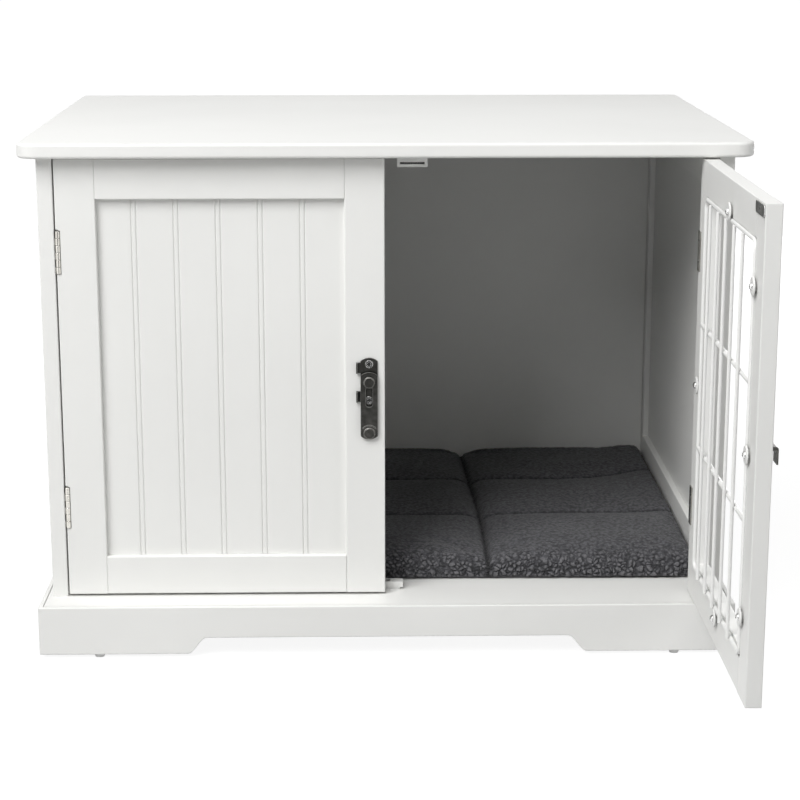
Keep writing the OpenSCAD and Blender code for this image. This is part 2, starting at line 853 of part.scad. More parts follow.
grille_w = door_in_w + 2 * rebate_w - 2 * grille_fit - border_wire_d;
grille_h = door_in_h + 2 * rebate_w - 2 * grille_fit - border_wire_d;
grille_x = door_frame_w - rebate_w + grille_fit + border_wire_d / 2;
grille_z = door_z + grille_x;
grille_y = door_t - rebate_d + border_wire_d / 2;

module wire(l, d) {
    cylinder(h = l, d = d, $fn = 16);
}

// The border: four straight runs and four bends
module grille_border() {
    b = border_bend_r;
    for (x = [0, grille_w]) translate([x, 0, b]) wire(grille_h - 2 * b, border_wire_d);
    for (z = [0, grille_h]) translate([b, 0, z]) rotate([0, 90, 0]) wire(grille_w - 2 * b, border_wire_d);
    for (mx = [0, 1], mz = [0, 1])
        translate([mx * grille_w, 0, mz * grille_h]) mirror([mx, 0, 0]) mirror([0, 0, mz])
            translate([b, 0, b]) rotate([90, 0, 0]) rotate([0, 0, 180])
                rotate_extrude(angle = 90, $fn = 48) translate([b, 0]) circle(d = border_wire_d, $fn = 16);
}

module wire_grille() {
    lift = (border_wire_d + upright_wire_d) / 2 - weld_sink;
    color(white_wire) at_right_open() translate([grille_x, grille_y, grille_z]) {
        grille_border();
        for (i = [1 : cross_count]) translate([0, 0, grille_h * i / (cross_count + 1)])
            rotate([0, 90, 0]) wire(grille_w, border_wire_d);
        for (i = [1 : upright_count]) translate([grille_w * i / (upright_count + 1), lift, 0])
            wire(grille_h, upright_wire_d);
    }
}

// The play between the border wire and the disc that reaches over it
clip_over_wire = 0.1;
clip_boss_h = border_wire_d - rebate_d + clip_over_wire;
clip_stand = clip_boss_h + clip_t;

// Each clip stands on the door's inner face and reaches over the border wire
module clip_places() {
    edge = door_frame_w - rebate_w - clip_offset;
    middle_z = door_z + door_h / 2;
    places = [
        [door_w / 2 + clip_side_shift, door_z + door_h - edge],
        [door_w / 2 + clip_side_shift, door_z + edge],
        [door_w - edge, door_z + door_h - clip_end_inset],
        [door_w - edge, middle_z],
        [door_w - edge, door_z + clip_end_inset],
        [edge, middle_z]
    ];
    for (p = places) translate([p.x, door_t, p.y]) rotate([90, 0, 0]) children();
}

clip_screw_l = 10;

module clip_screw_hole() {
    translate([0, 0, -1]) cylinder(h = clip_screw_l + 2, d = clip_screw_d + 2 * screw_play);
}

// A clip is a boss that stands beside the wire and a wider disc on the boss
module grille_clips() {
    color(white_plastic) at_right_open() clip_places() difference() {
        union() {
            translate([0, 0, -clip_boss_h]) cylinder(h = clip_boss_h, r = clip_offset);
            translate([0, 0, -clip_boss_h]) chamfered_disc(clip_d / 2, clip_t, clip_t / 2);
        }
        translate([0, 0, -clip_stand - 1])
            cylinder(h = clip_stand + 2, d = clip_screw_d + 2 * screw_play);
    }
}

module grille_clip_screws() {
    color(bright_steel) at_right_open() clip_places() translate([0, 0, -clip_stand])
        domed_screw(clip_screw_head_d, clip_screw_d, clip_stand + clip_screw_l);
}

// Hinges, given like the doors. Knuckles 0, 2, 4 from the bottom belong to the frame, the others to the door

module knuckles(first) {
    for (i = [first : 2 : knuckle_count - 1])
        translate([pin_from_edge, pin_from_face, -knuckle_row / 2 + i * knuckle_pitch + knuckle_gap / 2])
            children();
}

// A knuckle from the origin up, bevelled at both ends so that the joints of the barrel show
module knuckle() {
    bevel = 0.3;
    end_d = knuckle_d - 2 * bevel;
    h = knuckle_pitch - knuckle_gap;
    cylinder(h = bevel, d1 = end_d, d2 = knuckle_d);
    translate([0, 0, bevel]) cylinder(h = h - 2 * bevel, d = knuckle_d);
    translate([0, 0, h - bevel]) cylinder(h = bevel, d1 = knuckle_d, d2 = end_d);
}

// A leaf's plate and its tabs, which reach from the plate to its own knuckles
module leaf_plate(x, y_end, first) {
    past_knuckles = 0.3;
    in_knuckle = 0.4;
    tab_t = max(leaf_t, pin_from_edge - knuckle_d / 2 + in_knuckle - x);
    y_start = pin_from_face + knuckle_d / 2 + past_knuckles;
    translate([x, y_start, -leaf_h / 2]) cube([leaf_t, y_end - y_start, leaf_h]);
    for (i = [first : 2 : knuckle_count - 1]) {
        low = max(-leaf_h / 2, -knuckle_row / 2 + i * knuckle_pitch + knuckle_gap / 2);
        high = min(leaf_h / 2, -knuckle_row / 2 + (i + 1) * knuckle_pitch - knuckle_gap / 2);
        translate([x, pin_from_face, low]) cube([tab_t, y_start - pin_from_face + 1, high - low]);
    }
}

// Screws of the leaf on the side frame point outwards, away from the door
module frame_screw_places() {
    from_pin = 0.56 * frame_leaf_w;
    for (z = [-1, 1])
        translate([-door_hinge_gap + leaf_t, pin_from_face + from_pin, z * leaf_screw_pitch / 2])
            rotate([0, -90, 0]) children();
}

// Screws of the leaf on the door point from the door's inner face outwards
module door_screw_places() {
    for (z = [-1, 1]) translate([door_leaf_w / 2, door_t + leaf_t, z * leaf_screw_pitch / 2])
        rotate([90, 0, 0]) children();
}

module frame_leaf(z) {
    color(nickel) translate([0, 0, z]) difference() {
        union() {
            leaf_plate(-door_hinge_gap, pin_from_face + frame_leaf_w, 0);
            knuckles(0) knuckle();
        }
        knuckles(0) translate([0, 0, -1]) cylinder(h = knuckle_pitch + 2, d = hinge_pin_d + 2 * pin_play);
        frame_screw_places() countersunk_hole(leaf_screw_head_d, leaf_screw_d, leaf_screw_l);
    }
}

module door_leaf(z) {
    color(nickel) translate([0, 0, z]) difference() {
        union() {
            leaf_plate(0, door_t + leaf_t, 1);
            translate([0, door_t, -leaf_h / 2]) cube([door_leaf_w, leaf_t, leaf_h]);
            knuckles(1) knuckle();
        }
        knuckles(1) translate([0, 0, -1]) cylinder(h = knuckle_pitch + 2, d = hinge_pin_d + 2 * hinge_play);
        door_screw_places() countersunk_hole(leaf_screw_head_d, leaf_screw_d, leaf_screw_l);
    }
}

module hinge_pins_solid() {
    color(nickel) for (z = hinge_heights) translate([pin_from_edge, pin_from_face, z - knuckle_row / 2])
        cylinder(h = knuckle_row, d = hinge_pin_d);
}

module left_upper_frame_leaf() {
    at_left() frame_leaf(hinge_heights[1]);
}

module left_lower_frame_leaf() {
    at_left() frame_leaf(hinge_heights[0]);
}

module left_upper_door_leaf() {
    at_left() door_leaf(hinge_heights[1]);
}

module left_lower_door_leaf() {
    at_left() door_leaf(hinge_heights[0]);
}

module right_upper_frame_leaf() {
    at_right() frame_leaf(hinge_heights[1]);
}

module right_lower_frame_leaf() {
    at_right() frame_leaf(hinge_heights[0]);
}

module right_upper_door_leaf() {
    at_right_open() door_leaf(hinge_heights[1]);
}

module right_lower_door_leaf() {
    at_right_open() door_leaf(hinge_heights[0]);
}

module left_hinge_pins() {
    at_left() hinge_pins_solid();
}

module right_hinge_pins() {
    at_right() hinge_pins_solid();
}

module leaf_screw() {
    countersunk_screw(leaf_screw_head_d, leaf_screw_d, leaf_screw_l);
}

module frame_leaf_screws() {
    color(bright_steel) {
        at_left() for (z = hinge_heights) translate([0, 0, z]) frame_screw_places() leaf_screw();
        at_right() for (z = hinge_heights) translate([0, 0, z]) frame_screw_places() leaf_screw();
    }
}

// The hinge screws and the strike plate's screw of one door
module door_screws_solid() {
    for (z = hinge_heights) translate([0, 0, z]) door_screw_places() leaf_screw();
    strike_screw_place() leaf_screw();
}

module left_door_screws() {
    color(bright_steel) at_left() door_screws_solid();
}

module right_door_screws() {
    color(bright_steel) at_right_open() door_screws_solid();
}

// Latch: a bar that hangs from a rivet on the left door and swings up behind the keeper's lip

latch_screw_l = 11;

// Points the children's +Z into the door at a height above or below the latch pivot
module latch_at(h) {
    translate([latch_x, 0, latch_z + h]) rotate([-90, 0, 0]) children();
}

module latch_base_screw_places() {
    for (h = [-1, 1]) latch_at(h * latch_screw_reach) translate([0, 0, -latch_base_t]) children();
}

// A strip along Z about x = 0 whose upper end is domed, as seen from the front
module domed_strip(w, low, high, end_r) {
    intersection() {
        translate([-w / 2, low]) square([w, high - low]);
        translate([0, high - end_r]) circle(end_r, $fn = 64);
    }
    sagitta = end_r - sqrt(end_r * end_r - w * w / 4);
    translate([-w / 2, low]) square([w, high - low - sagitta]);
}

// Lays an outline drawn in X and Z on the left door, from one distance outside its face to another
module on_left_face(from, to) {
    translate([latch_x, -from, latch_z]) rotate([90, 0, 0]) linear_extrude(to - from) children();
}

module latch_base() {
    stop_z = latch_w / 2 + latch_stop_gap;
    bar_clearance = 0.4;
    color(dark_steel) at_left() difference() {
        union() {
            on_left_face(0, latch_base_t) domed_strip(latch_w, -latch_base_down, latch_base_up, latch_end_r);
            for (z = [stop_z, -stop_z - latch_stop_h])
                translate([latch_x - latch_w / 2 - latch_stop_reach - bar_clearance, 0, latch_z + z]) {
                    translate([0, -latch_base_t, 0]) cube([latch_stop_reach + 1, latch_base_t, latch_stop_h]);
                    translate([0, -latch_front - 1, 0]) cube([latch_base_t, latch_front + 1, latch_stop_h]);
                }
        }
        latch_base_screw_places() countersunk_hole(latch_screw_head_d, latch_screw_d, latch_screw_l);
        latch_at(0) translate([0, 0, -latch_base_t - 1])
            cylinder(h = latch_base_t + 2, r = rivet_r + pin_play);
    }
}

module latch_base_screws() {
    color(bright_steel) at_left() latch_base_screw_places()
        countersunk_screw(latch_screw_head_d, latch_screw_d, latch_screw_l);
}

module latch_rivet() {
    head_h = 1.6;
    chamfer = 1;
    head_gap = 0.1;
    color(dark_steel) at_left() latch_at(0) {
        translate([0, 0, -latch_front - head_gap]) cylinder(h = latch_front + head_gap, r = rivet_r);
        translate([0, 0, -latch_front - head_gap]) chamfered_disc(rivet_head_r, head_h, chamfer);
    }
}

module latch_bar() {
    back = latch_base_t + latch_gap;
    window_top = -rivet_head_r;
    window_bottom = -latch_screw_reach - 7;
    thumb_r = 6;
    thumb_h = 0.8;
    thumb_z = -latch_bar_reach + latch_end_r / 2;
    color(dark_steel) at_left() difference() {
        union() {
            on_left_face(back, latch_front) intersection() {
                domed_strip(latch_w, -latch_bar_reach, latch_tail, latch_end_r);
                mirror([0, 1]) domed_strip(latch_w, -latch_tail, latch_bar_reach, latch_end_r);
            }
            // A raised disc to push with the thumb, and a rib above it
            latch_at(thumb_z) translate([0, 0, -latch_front + latch_bar_t / 2])
                chamfered_disc(thumb_r, thumb_h + latch_bar_t / 2, thumb_h);
            on_left_face(latch_front - 0.5, latch_front + 0.6) intersection() {
                translate([0, thumb_z]) difference() {
                    circle(thumb_r + 3);
                    circle(thumb_r + 1.8);
                }
                translate([-latch_w / 2 + 2, thumb_z + 5]) square([latch_w - 4, 10]);
            }
        }
        latch_at(0) translate([0, 0, -latch_front - 1])
            cylinder(h = latch_bar_t + 2, r = rivet_r + hinge_play);
        // The window over the base plate's lower screw, square above and round below
        on_left_face(back - 1, latch_front + 1) {
            r = latch_window_half_w;
            translate([0, window_bottom + r]) circle(r);
            translate([-r, window_bottom + r]) square([2 * r, window_top - window_bottom - r]);
        }
    }
}

// Keeper: a folded sheet, drawn as a profile seen from the end and extruded along its width

keeper_top_z = latch_z + latch_w / 2 + keeper_top_gap + keeper_top_h;
keeper_x = door_w - keeper_inset;
keeper_screw_l = 10;
keeper_screw_head_d = 5;
keeper_screw_up = 3.6;

module keeper_screw_places() {
    for (x = [-1, 1])
        translate([keeper_x + x * keeper_w / 4, -keeper_t, keeper_top_z - keeper_plate_l + keeper_screw_up])
            rotate([-90, 0, 0]) children();
}

// The profile has X outwards from the door's face and Y down from the keeper's top
module keeper_profile() {
    out = 2 * keeper_t + keeper_slot;
    r = 3;
    square([keeper_t, keeper_plate_l]);
    square([out - r, keeper_top_h]);
    translate([0, r]) square([out, keeper_top_h - r]);
    intersection() {
        translate([out - r, r]) circle(r);
        square([out, keeper_top_h]);
    }
    translate([out - keeper_t, r]) square([keeper_t, keeper_lip_l - r]);
}

module latch_keeper() {
    color(dark_steel) at_right_open() difference() {
        translate([keeper_x - keeper_w / 2, 0, keeper_top_z]) rotate([-90, 0, -90])
            linear_extrude(keeper_w) keeper_profile();
        keeper_screw_places() countersunk_hole(keeper_screw_head_d, leaf_screw_d, keeper_screw_l);
    }
}

module keeper_screws() {
    color(bright_steel) at_right_open() keeper_screw_places()
        countersunk_screw(keeper_screw_head_d, leaf_screw_d, keeper_screw_l);
}

// Catches and strike plates

catch_front_y = front_y + door_t + strike_t + catch_gap;
catch_screw_l = 10;
// The screw's well is open to the back of the catch, and its head bears on the catch's base
catch_well_d = 8;
catch_screw_y = catch_front_y + catch_d - 4.5;
catch_base_t = 2;

module catch_screw_places() {
    for (x = [-1, 1]) translate([x * (catch_inset + catch_w / 2), catch_screw_y, top_z - catch_base_t])
        children();
}

module top_catch_solid() {
    slot_h = 2;
    slot_edge = 3;
    slot_d = 3;
    difference() {
        translate([catch_inset, catch_front_y, top_z - catch_h]) cube([catch_w, catch_d, catch_h]);
        translate([catch_inset + slot_edge, catch_front_y - 1, top_z - catch_h + slot_edge])
            cube([catch_w - 2 * slot_edge, slot_d + 1, slot_h]);
        // A well behind the magnet lets the screw reach the top board
        translate([catch_inset + catch_w / 2, catch_screw_y, top_z - catch_h - 1]) {
            cylinder(h = catch_h + 1 - catch_base_t, d = catch_well_d);
            cylinder(h = catch_h + 2, d = clip_screw_d + 2 * screw_play);
        }
    }
}

module left_top_catch() {
    color(white_plastic) mirror([1, 0, 0]) top_catch_solid();
}

module right_top_catch() {
    color(white_plastic) top_catch_solid();
}

stop_screw_l = 10;
stop_head_depth = 4;

module stop_screw_place() {
    translate([0, catch_front_y + stop_d / 2, floor_z]) mirror([0, 0, 1]) children();
}

module catch_screws() {
    head_h = clip_screw_head_d * 0.35;
    color(bright_steel) {
        catch_screw_places() domed_screw(clip_screw_head_d, clip_screw_d, catch_screw_l);
        stop_screw_place() translate([0, 0, -stop_h + stop_head_depth])
            domed_screw(clip_screw_head_d, clip_screw_d, stop_h - stop_head_depth + stop_screw_l - 1);
    }
}

module bottom_door_stop() {
    foot_h = 1.8;
    foot_in = 3.4;
    well_d = 8;
    color(white_plastic) difference() {
        union() {
            translate([-stop_half_w + foot_in, catch_front_y, floor_z])
                cube([2 * (stop_half_w - foot_in), stop_d, foot_h]);
            translate([-stop_half_w, catch_front_y, floor_z + foot_h])
                cube([2 * stop_half_w, stop_d, stop_h - foot_h]);
        }
        stop_screw_place() {
            translate([0, 0, -stop_h - 1]) cylinder(h = stop_head_depth + 1, d = well_d);
            translate([0, 0, -stop_h - 1]) cylinder(h = stop_h + 2, d = clip_screw_d + 2 * screw_play);
        }
    }
}

module strike_solid() {
    r = 3;
    low = door_z + door_h - strike_drop - strike_h;
    color(dark_steel) difference() {
        translate([door_w - strike_inset - strike_l, door_t + strike_t, low])
            rotate([90, 0, 0]) linear_extrude(strike_t) rounded_rect([strike_l, strike_h], r);
        strike_screw_place() countersunk_hole(leaf_screw_head_d, leaf_screw_d, strike_screw_l);
    }
}

module left_strike_plate() {
    at_left() strike_solid();
}

module right_strike_plate() {
    at_right_open() strike_solid();
}

// Cushion: a closed skin of two height fields that share their rim

cushion_lift = 0.3;
cushion_w = 2 * (side_in_x - cushion_gap);
cushion_d = back_in_y - cushion_gap - (front_y + door_t + cushion_front_gap);
cushion_steps = [9 * cushion_fields, 7 * cushion_fields];

// Height of the upper skin above the cushion's seams, for a place given in quilted fields
function field_crown(u, v) =
    let (a = 2 * (u - floor(u)) - 1, b = 2 * (v - floor(v)) - 1)
    cushion_crown * (1 - pow(a, 4)) * (1 - pow(b, 4));

// How far the sides have risen at a distance from the rim, from 0 at the rim to 1 inside
function side_rise(distance) =
    let (t = min(1, distance / cushion_side_r))
    sqrt(1 - pow(1 - t, 2));

// Grid lines lie closer together near the two ends of the span
function grid_place(i, n, span) =
    let (t = i / n)
    span * (t - 0.35 * sin(360 * t) / (2 * PI * cushion_fields));

function cushion_point(i, j, upper) =
    let (
        n = cushion_steps,
        x = grid_place(i, n.x, cushion_w),
        y = grid_place(j, n.y, cushion_d),
        rim = min(x, y, cushion_w - x, cushion_d - y),
        rise = side_rise(rim),
        u = cushion_fields * x / cushion_w,
        v = cushion_fields * y / cushion_d,
        mid = cushion_seam_t / 2,
        top = mid + rise * (mid + field_crown(u, v)),
        low = mid - side_rise(rim * 4) * mid,
        front = back_in_y - cushion_gap - cushion_d
    )
    [x - cushion_w / 2, front + y, floor_z + cushion_lift + (upper ? top : low)];

module cushion() {
    nx = cushion_steps.x;
    ny = cushion_steps.y;
    row = nx + 1;
    upper = [for (j = [0 : ny], i = [0 : nx]) cushion_point(i, j, true)];
    lower = [for (j = [1 : ny - 1], i = [1 : nx - 1]) cushion_point(i, j, false)];
    function top_id(i, j) = j * row + i;
    function low_id(i, j) = (i == 0 || j == 0 || i == nx || j == ny)
        ? top_id(i, j) : len(upper) + (j - 1) * (nx - 1) + i - 1;
    // Each quad is split along the diagonal that runs towards the nearest corner of the cushion
    function towards_corner(i, j) = (2 * i < nx) == (2 * j < ny);
    function top_quad(i, j) = towards_corner(i, j)
        ? [[[0, 0], [0, 1], [1, 1]], [[0, 0], [1, 1], [1, 0]]]
        : [[[0, 0], [0, 1], [1, 0]], [[1, 0], [0, 1], [1, 1]]];
    quads = [
        for (j = [0 : ny - 1], i = [0 : nx - 1], half = top_quad(i, j))
            [for (c = half) [i + c.x, j + c.y]]
    ];
    color(grey_fleece) polyhedron(
        points = concat(upper, lower),
        faces = concat(
            [for (q = quads) [for (c = q) top_id(c.x, c.y)]],
            [for (q = quads) [for (c = [q[2], q[1], q[0]]) low_id(c.x, c.y)]]
        )
    );
}

// Hidden fasteners: screws up through the floor panel, and dowels between the sides and the top

floor_screw_head_d = 8;
floor_screw_d = 4;
floor_screw_l = 38;
dowel_d = 8;
dowel_l = 28;
dowel_in_top = 9;
dowel_play = 0.05;
door_dowel_d = 6;
door_dowel_l = 30;

// Places under the left side, with +Z pointing up
module floor_screw_places() {
    for (y = [front_y + side_front_stile_w / 2, front_y + body_d / 2, back_y - side_back_stile_w / 2])
        translate([-body_w / 2 + side_t / 2, y, floor_z - floor_t]) children();
}

module back_screw_places() {
    for (x = [-side_in_x / 2, side_in_x / 2])
        translate([x, back_in_y + back_t / 2, floor_z - floor_t]) children();
}

module floor_screws() {
    color(bright_steel) {
        floor_screw_places() countersunk_screw(floor_screw_head_d, floor_screw_d, floor_screw_l);
        mirror([1, 0, 0]) floor_screw_places()
            countersunk_screw(floor_screw_head_d, floor_screw_d, floor_screw_l);
        back_screw_places() countersunk_screw(floor_screw_head_d, floor_screw_d, floor_screw_l);
    }
}

module top_dowel_places() {
    for (x = [-1, 1])
        for (y = [front_y + side_front_stile_w / 2, front_y + body_d / 2, back_y - side_back_stile_w / 2])
            translate([x * (body_w / 2 - side_t / 2), y, top_z + dowel_in_top]) mirror([0, 0, 1]) children();
}

module dowel_hole() {
    translate([0, 0, -dowel_play]) cylinder(h = dowel_l + 2 * dowel_play, d = dowel_d + 2 * dowel_play);
}

module top_dowels() {
    color(dowel_wood) top_dowel_places() cylinder(h = dowel_l, d = dowel_d);
}

top_panel();
left_side_front_stile();
left_side_back_stile();
left_side_top_rail();
left_side_bottom_rail();
left_side_panel();
right_side_front_stile();
right_side_back_stile();
right_side_top_rail();
right_side_bottom_rail();
right_side_panel();
back_panel();
floor_panel();
plinth_front();
plinth_left();
plinth_right();
plinth_back();
glides();
left_door_hinge_stile();
left_door_free_stile();
left_door_top_rail();
left_door_bottom_rail();
left_door_panel();
right_door_hinge_stile();
right_door_free_stile();
right_door_top_rail();
right_door_bottom_rail();
wire_grille();
grille_clips();
grille_clip_screws();
left_upper_frame_leaf();
left_lower_frame_leaf();
left_upper_door_leaf();
left_lower_door_leaf();
right_upper_frame_leaf();
right_lower_frame_leaf();
right_upper_door_leaf();
right_lower_door_leaf();
left_hinge_pins();
right_hinge_pins();
frame_leaf_screws();
left_door_screws();
right_door_screws();
latch_base();
latch_base_screws();
latch_rivet();
latch_bar();
latch_keeper();
keeper_screws();
left_top_catch();
right_top_catch();
catch_screws();
bottom_door_stop();
left_strike_plate();
right_strike_plate();
cushion();
floor_screws();
top_dowels();
right_door_dowels();
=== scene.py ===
# %% [markdown]
# # A white pet crate with a panelled door and a wire door
#
# The crate is a small painted cabinet: a top board that overhangs, two framed sides, a plinth with
# a low arch, and two doors. The left door is closed and the right one stands open, so a quilted
# fleece cushion shows inside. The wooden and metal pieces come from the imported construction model,
# which is exact, so this scene gives them finishes. The cushion is soft, so it gets a form of its
# own here.

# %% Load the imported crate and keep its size
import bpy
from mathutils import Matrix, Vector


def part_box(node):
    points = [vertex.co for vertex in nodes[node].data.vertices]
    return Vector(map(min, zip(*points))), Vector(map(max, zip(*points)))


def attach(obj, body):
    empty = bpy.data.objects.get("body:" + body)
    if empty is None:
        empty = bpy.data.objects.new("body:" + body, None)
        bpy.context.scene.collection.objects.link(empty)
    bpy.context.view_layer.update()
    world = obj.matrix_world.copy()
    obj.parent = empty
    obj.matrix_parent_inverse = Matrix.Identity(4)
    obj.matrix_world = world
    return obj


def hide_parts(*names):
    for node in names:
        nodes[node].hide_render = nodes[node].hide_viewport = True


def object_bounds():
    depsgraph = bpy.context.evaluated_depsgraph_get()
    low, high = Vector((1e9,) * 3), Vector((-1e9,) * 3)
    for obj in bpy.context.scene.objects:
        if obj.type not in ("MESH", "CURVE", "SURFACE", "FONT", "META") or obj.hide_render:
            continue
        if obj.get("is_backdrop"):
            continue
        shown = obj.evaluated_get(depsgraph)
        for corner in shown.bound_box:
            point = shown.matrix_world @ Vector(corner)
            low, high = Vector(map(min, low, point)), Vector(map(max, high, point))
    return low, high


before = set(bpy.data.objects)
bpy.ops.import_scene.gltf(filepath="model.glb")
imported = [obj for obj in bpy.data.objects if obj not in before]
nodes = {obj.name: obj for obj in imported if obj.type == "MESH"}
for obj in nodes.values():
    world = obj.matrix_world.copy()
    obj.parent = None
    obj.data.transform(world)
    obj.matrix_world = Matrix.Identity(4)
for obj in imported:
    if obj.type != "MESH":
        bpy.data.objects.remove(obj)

solid_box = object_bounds()
print("pieces in the construction model:", len(nodes))
print("size in metres:", [round(high - low, 4) for low, high in zip(*solid_box)])

# %% [markdown]
# ## The camera
#
# The photograph looks slightly down on the crate from in front. The place and the focal length
# were worked out from the crate's own corners: each known corner has to fall on its pixel. A long
# lens stands far off and keeps upright lines nearly upright.

# %% Camera
import math
import bpy

picture_width, focal_pixels, sensor_width = 800, 2046.1, 36
camera_place = (-0.02829, -2.26863, 0.74956)
camera_tilt, camera_turn = 76.439, -1.180

lens = bpy.data.cameras.new("photo_camera")
lens.sensor_width = sensor_width
lens.lens = focal_pixels / picture_width * sensor_width
camera = bpy.data.objects.new("photo_camera", lens)
camera.location = camera_place
camera.rotation_euler = (math.radians(camera_tilt), 0, math.radians(camera_turn))
bpy.context.scene.collection.objects.link(camera)
bpy.context.scene.camera = camera
bpy.context.scene.view_settings.view_transform = "Standard"
print("lens in mm:", round(lens.lens, 2))

# %% [markdown]
# ## A short way to write materials
#
# A material in Blender is a small net of nodes. Writing each node and link by hand is long, so the
# first helper makes one node, fills in its numbers, and joins it to the sockets that are handed to
# it. The others name what nearly every material needs: a place on the piece, a noise, a colour or
# a number that follows the noise, and the shader at the end.

# %% Node helpers
def node(tree, kind, inputs=None, **settings):
    made = tree.nodes.new("ShaderNode" + kind)
    for name, value in settings.items():
        setattr(made, name, value)
    for name, value in (inputs or {}).items():
        if isinstance(value, bpy.types.NodeSocket):
            tree.links.new(value, made.inputs[name])
        else:
            made.inputs[name].default_value = value
    return made


def empty_material(name):
    material = bpy.data.materials.new(name)
    material.use_nodes = True
    material.node_tree.nodes.clear()
    return material, material.node_tree


def object_place(tree):
    return node(tree, "TexCoord").outputs["Object"]


def noise_at(tree, place, scale, detail=2.0, output="Fac"):
    inputs = {"Vector": place, "Scale": scale, "Detail": detail}
    return node(tree, "TexNoise", inputs).outputs[output]


def tint(tree, factor, low, high, start=0.0, end=1.0):
    """A colour that goes from low to high as the factor goes from start to end."""
    ramp = node(tree, "ValToRGB", {"Fac": factor})
    for stop, place, colour in zip(ramp.color_ramp.elements, (start, end), (low, high)):
        stop.position = place
        stop.color = (*colour, 1)
    return ramp.outputs["Color"]


def spread(tree, factor, low, high, start=0.0, end=1.0):
    """A number that goes from low to high as the factor goes from start to end."""
    inputs = {"Value": factor, "From Min": start, "From Max": end, "To Min": low, "To Max": high}
    return node(tree, "MapRange", inputs).outputs["Result"]


def show(tree, shader, output="OutputMaterial"):
    tree.links.new(shader, node(tree, output).inputs["Surface"])


def surface(tree, **inputs):
    named = {name.replace("_", " "): value for name, value in inputs.items()}
    show(tree, node(tree, "BsdfPrincipled", named).outputs["BSDF"])


print("node helpers ready")

# %% [markdown]
# ## White floor, white background
#
# The photograph's background is plain white. Extra lamps would burn out the white paint, so the
# whiteness is a colour that only the camera, mirrors and glass see. For every other ray the floor
# is ordinary pale card, which throws soft light back on the crate. A share of real shading stays
# in what the camera sees, so the crate keeps a soft shadow where it stands.

# %% Floor
def seen_directly(tree):
    path = node(tree, "LightPath").outputs
    seen = path["Is Camera Ray"]
    for kind in ("Is Glossy Ray", "Is Transmission Ray"):
        seen = node(tree, "Math", {0: seen, 1: path[kind]}, operation="MAXIMUM").outputs[0]
    return seen


floor_size, floor_drop = 30, 0.0002
glow_near_crate, glow_rises_from, glow_full_at = 0.90, 0.5, 1.4

floor_material, tree = empty_material("pale_floor")
place = object_place(tree)
fleck = noise_at(tree, place, 3.0)
card = node(tree, "BsdfDiffuse", {"Color": tint(tree, fleck, (0.51,) * 3, (0.53,) * 3)})
shaded = node(tree, "BsdfDiffuse", {"Color": tint(tree, fleck, (0.20,) * 3, (0.21,) * 3)})
distance = node(tree, "VectorMath", {0: place}, operation="LENGTH").outputs["Value"]
glow = spread(tree, distance, glow_near_crate, 1.0, glow_rises_from, glow_full_at)
white = node(tree, "Emission", {"Color": (1, 1, 1, 1), "Strength": glow})
lit = node(tree, "AddShader", {0: shaded.outputs[0], 1: white.outputs[0]})
sides = {0: seen_directly(tree), 1: card.outputs[0], 2: lit.outputs[0]}
show(tree, node(tree, "MixShader", sides).outputs[0])

bpy.ops.mesh.primitive_plane_add(size=floor_size, location=(0, 0, -floor_drop))
floor = bpy.context.object
floor.name = "floor"
floor.data.materials.append(floor_material)
floor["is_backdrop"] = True
print("floor in metres:", floor_size, "by", floor_size)

# %% [markdown]
# ## The room around the crate
#
# What lies past the floor's edge has to be as white as the floor, yet it may light the crate only a
# little, or the paint loses its shading. So the world is white to the same rays as the floor and
# faint to all others.

# %% World
room_light = 0.11
world = bpy.data.worlds.new("white_room")
bpy.context.scene.world = world
world.use_nodes = True
tree = world.node_tree
tree.nodes.clear()
strength = spread(tree, seen_directly(tree), room_light, 1.0)
background = node(tree, "Background", {"Color": (1, 1, 1, 1), "Strength": strength})
show(tree, background.outputs[0], "OutputWorld")
print("room light for the crate:", room_light)

# %% [markdown]
# ## Lamps
#
# The paint is lightest on top, nearly as light in front, and the open door's inner side is as
# light as the front. One large soft box high in front and to the left does that, and the closed
# door keeps its light off the rear panel, which stays grey as in the photograph. A weak box above
# lifts the top, one from the right keeps what stands behind the open door from going dark, and one
# behind lights the outside of the rear panel, which the photograph doesn't show but another view
# does.

# %% Soft boxes
from mathutils import Vector


def softbox(name, place, aim, size, power):
    lamp = bpy.data.lights.new(name, "AREA")
    lamp.shape = "RECTANGLE"
    lamp.size, lamp.size_y = size
    lamp.energy = power
    box = bpy.data.objects.new(name, lamp)
    box.location = place
    box.rotation_euler = (Vector(aim) - Vector(place)).to_track_quat("-Z", "Y").to_euler()
    bpy.context.scene.collection.objects.link(box)


softbox("overhead_softbox", (0.0, -0.9, 2.6), aim=(0, -0.1, 0.3), size=(2.4, 1.4), power=17)
softbox("key_softbox", (-1.4, -1.95, 2.42), aim=(0, -0.25, 0.3), size=(1.8, 2.1), power=95)
softbox("right_fill_softbox", (2.4, -1.5, 1.1), aim=(0.3, -0.25, 0.3), size=(1.4, 1.4), power=14)
softbox("rear_fill_softbox", (0.9, 2.5, 0.32), aim=(0, 0.2, 0.25), size=(2.0, 0.4), power=20)
print("soft boxes:", [light.name for light in bpy.data.lights])

# %% [markdown]
# ## Dark cards for the metal
#
# In an all-white room polished metal has nothing to reflect and looks like grey paint.
# Photographers hang a black cloth in front of the piece, so that plates turn dark and round pins
# get a dark line down the middle. Two cards do that here: one lies on the floor in front of the
# crate, and one stands just before the camera. Only mirror-like rays meet them, so the camera
# doesn't see them and they throw no shadow.

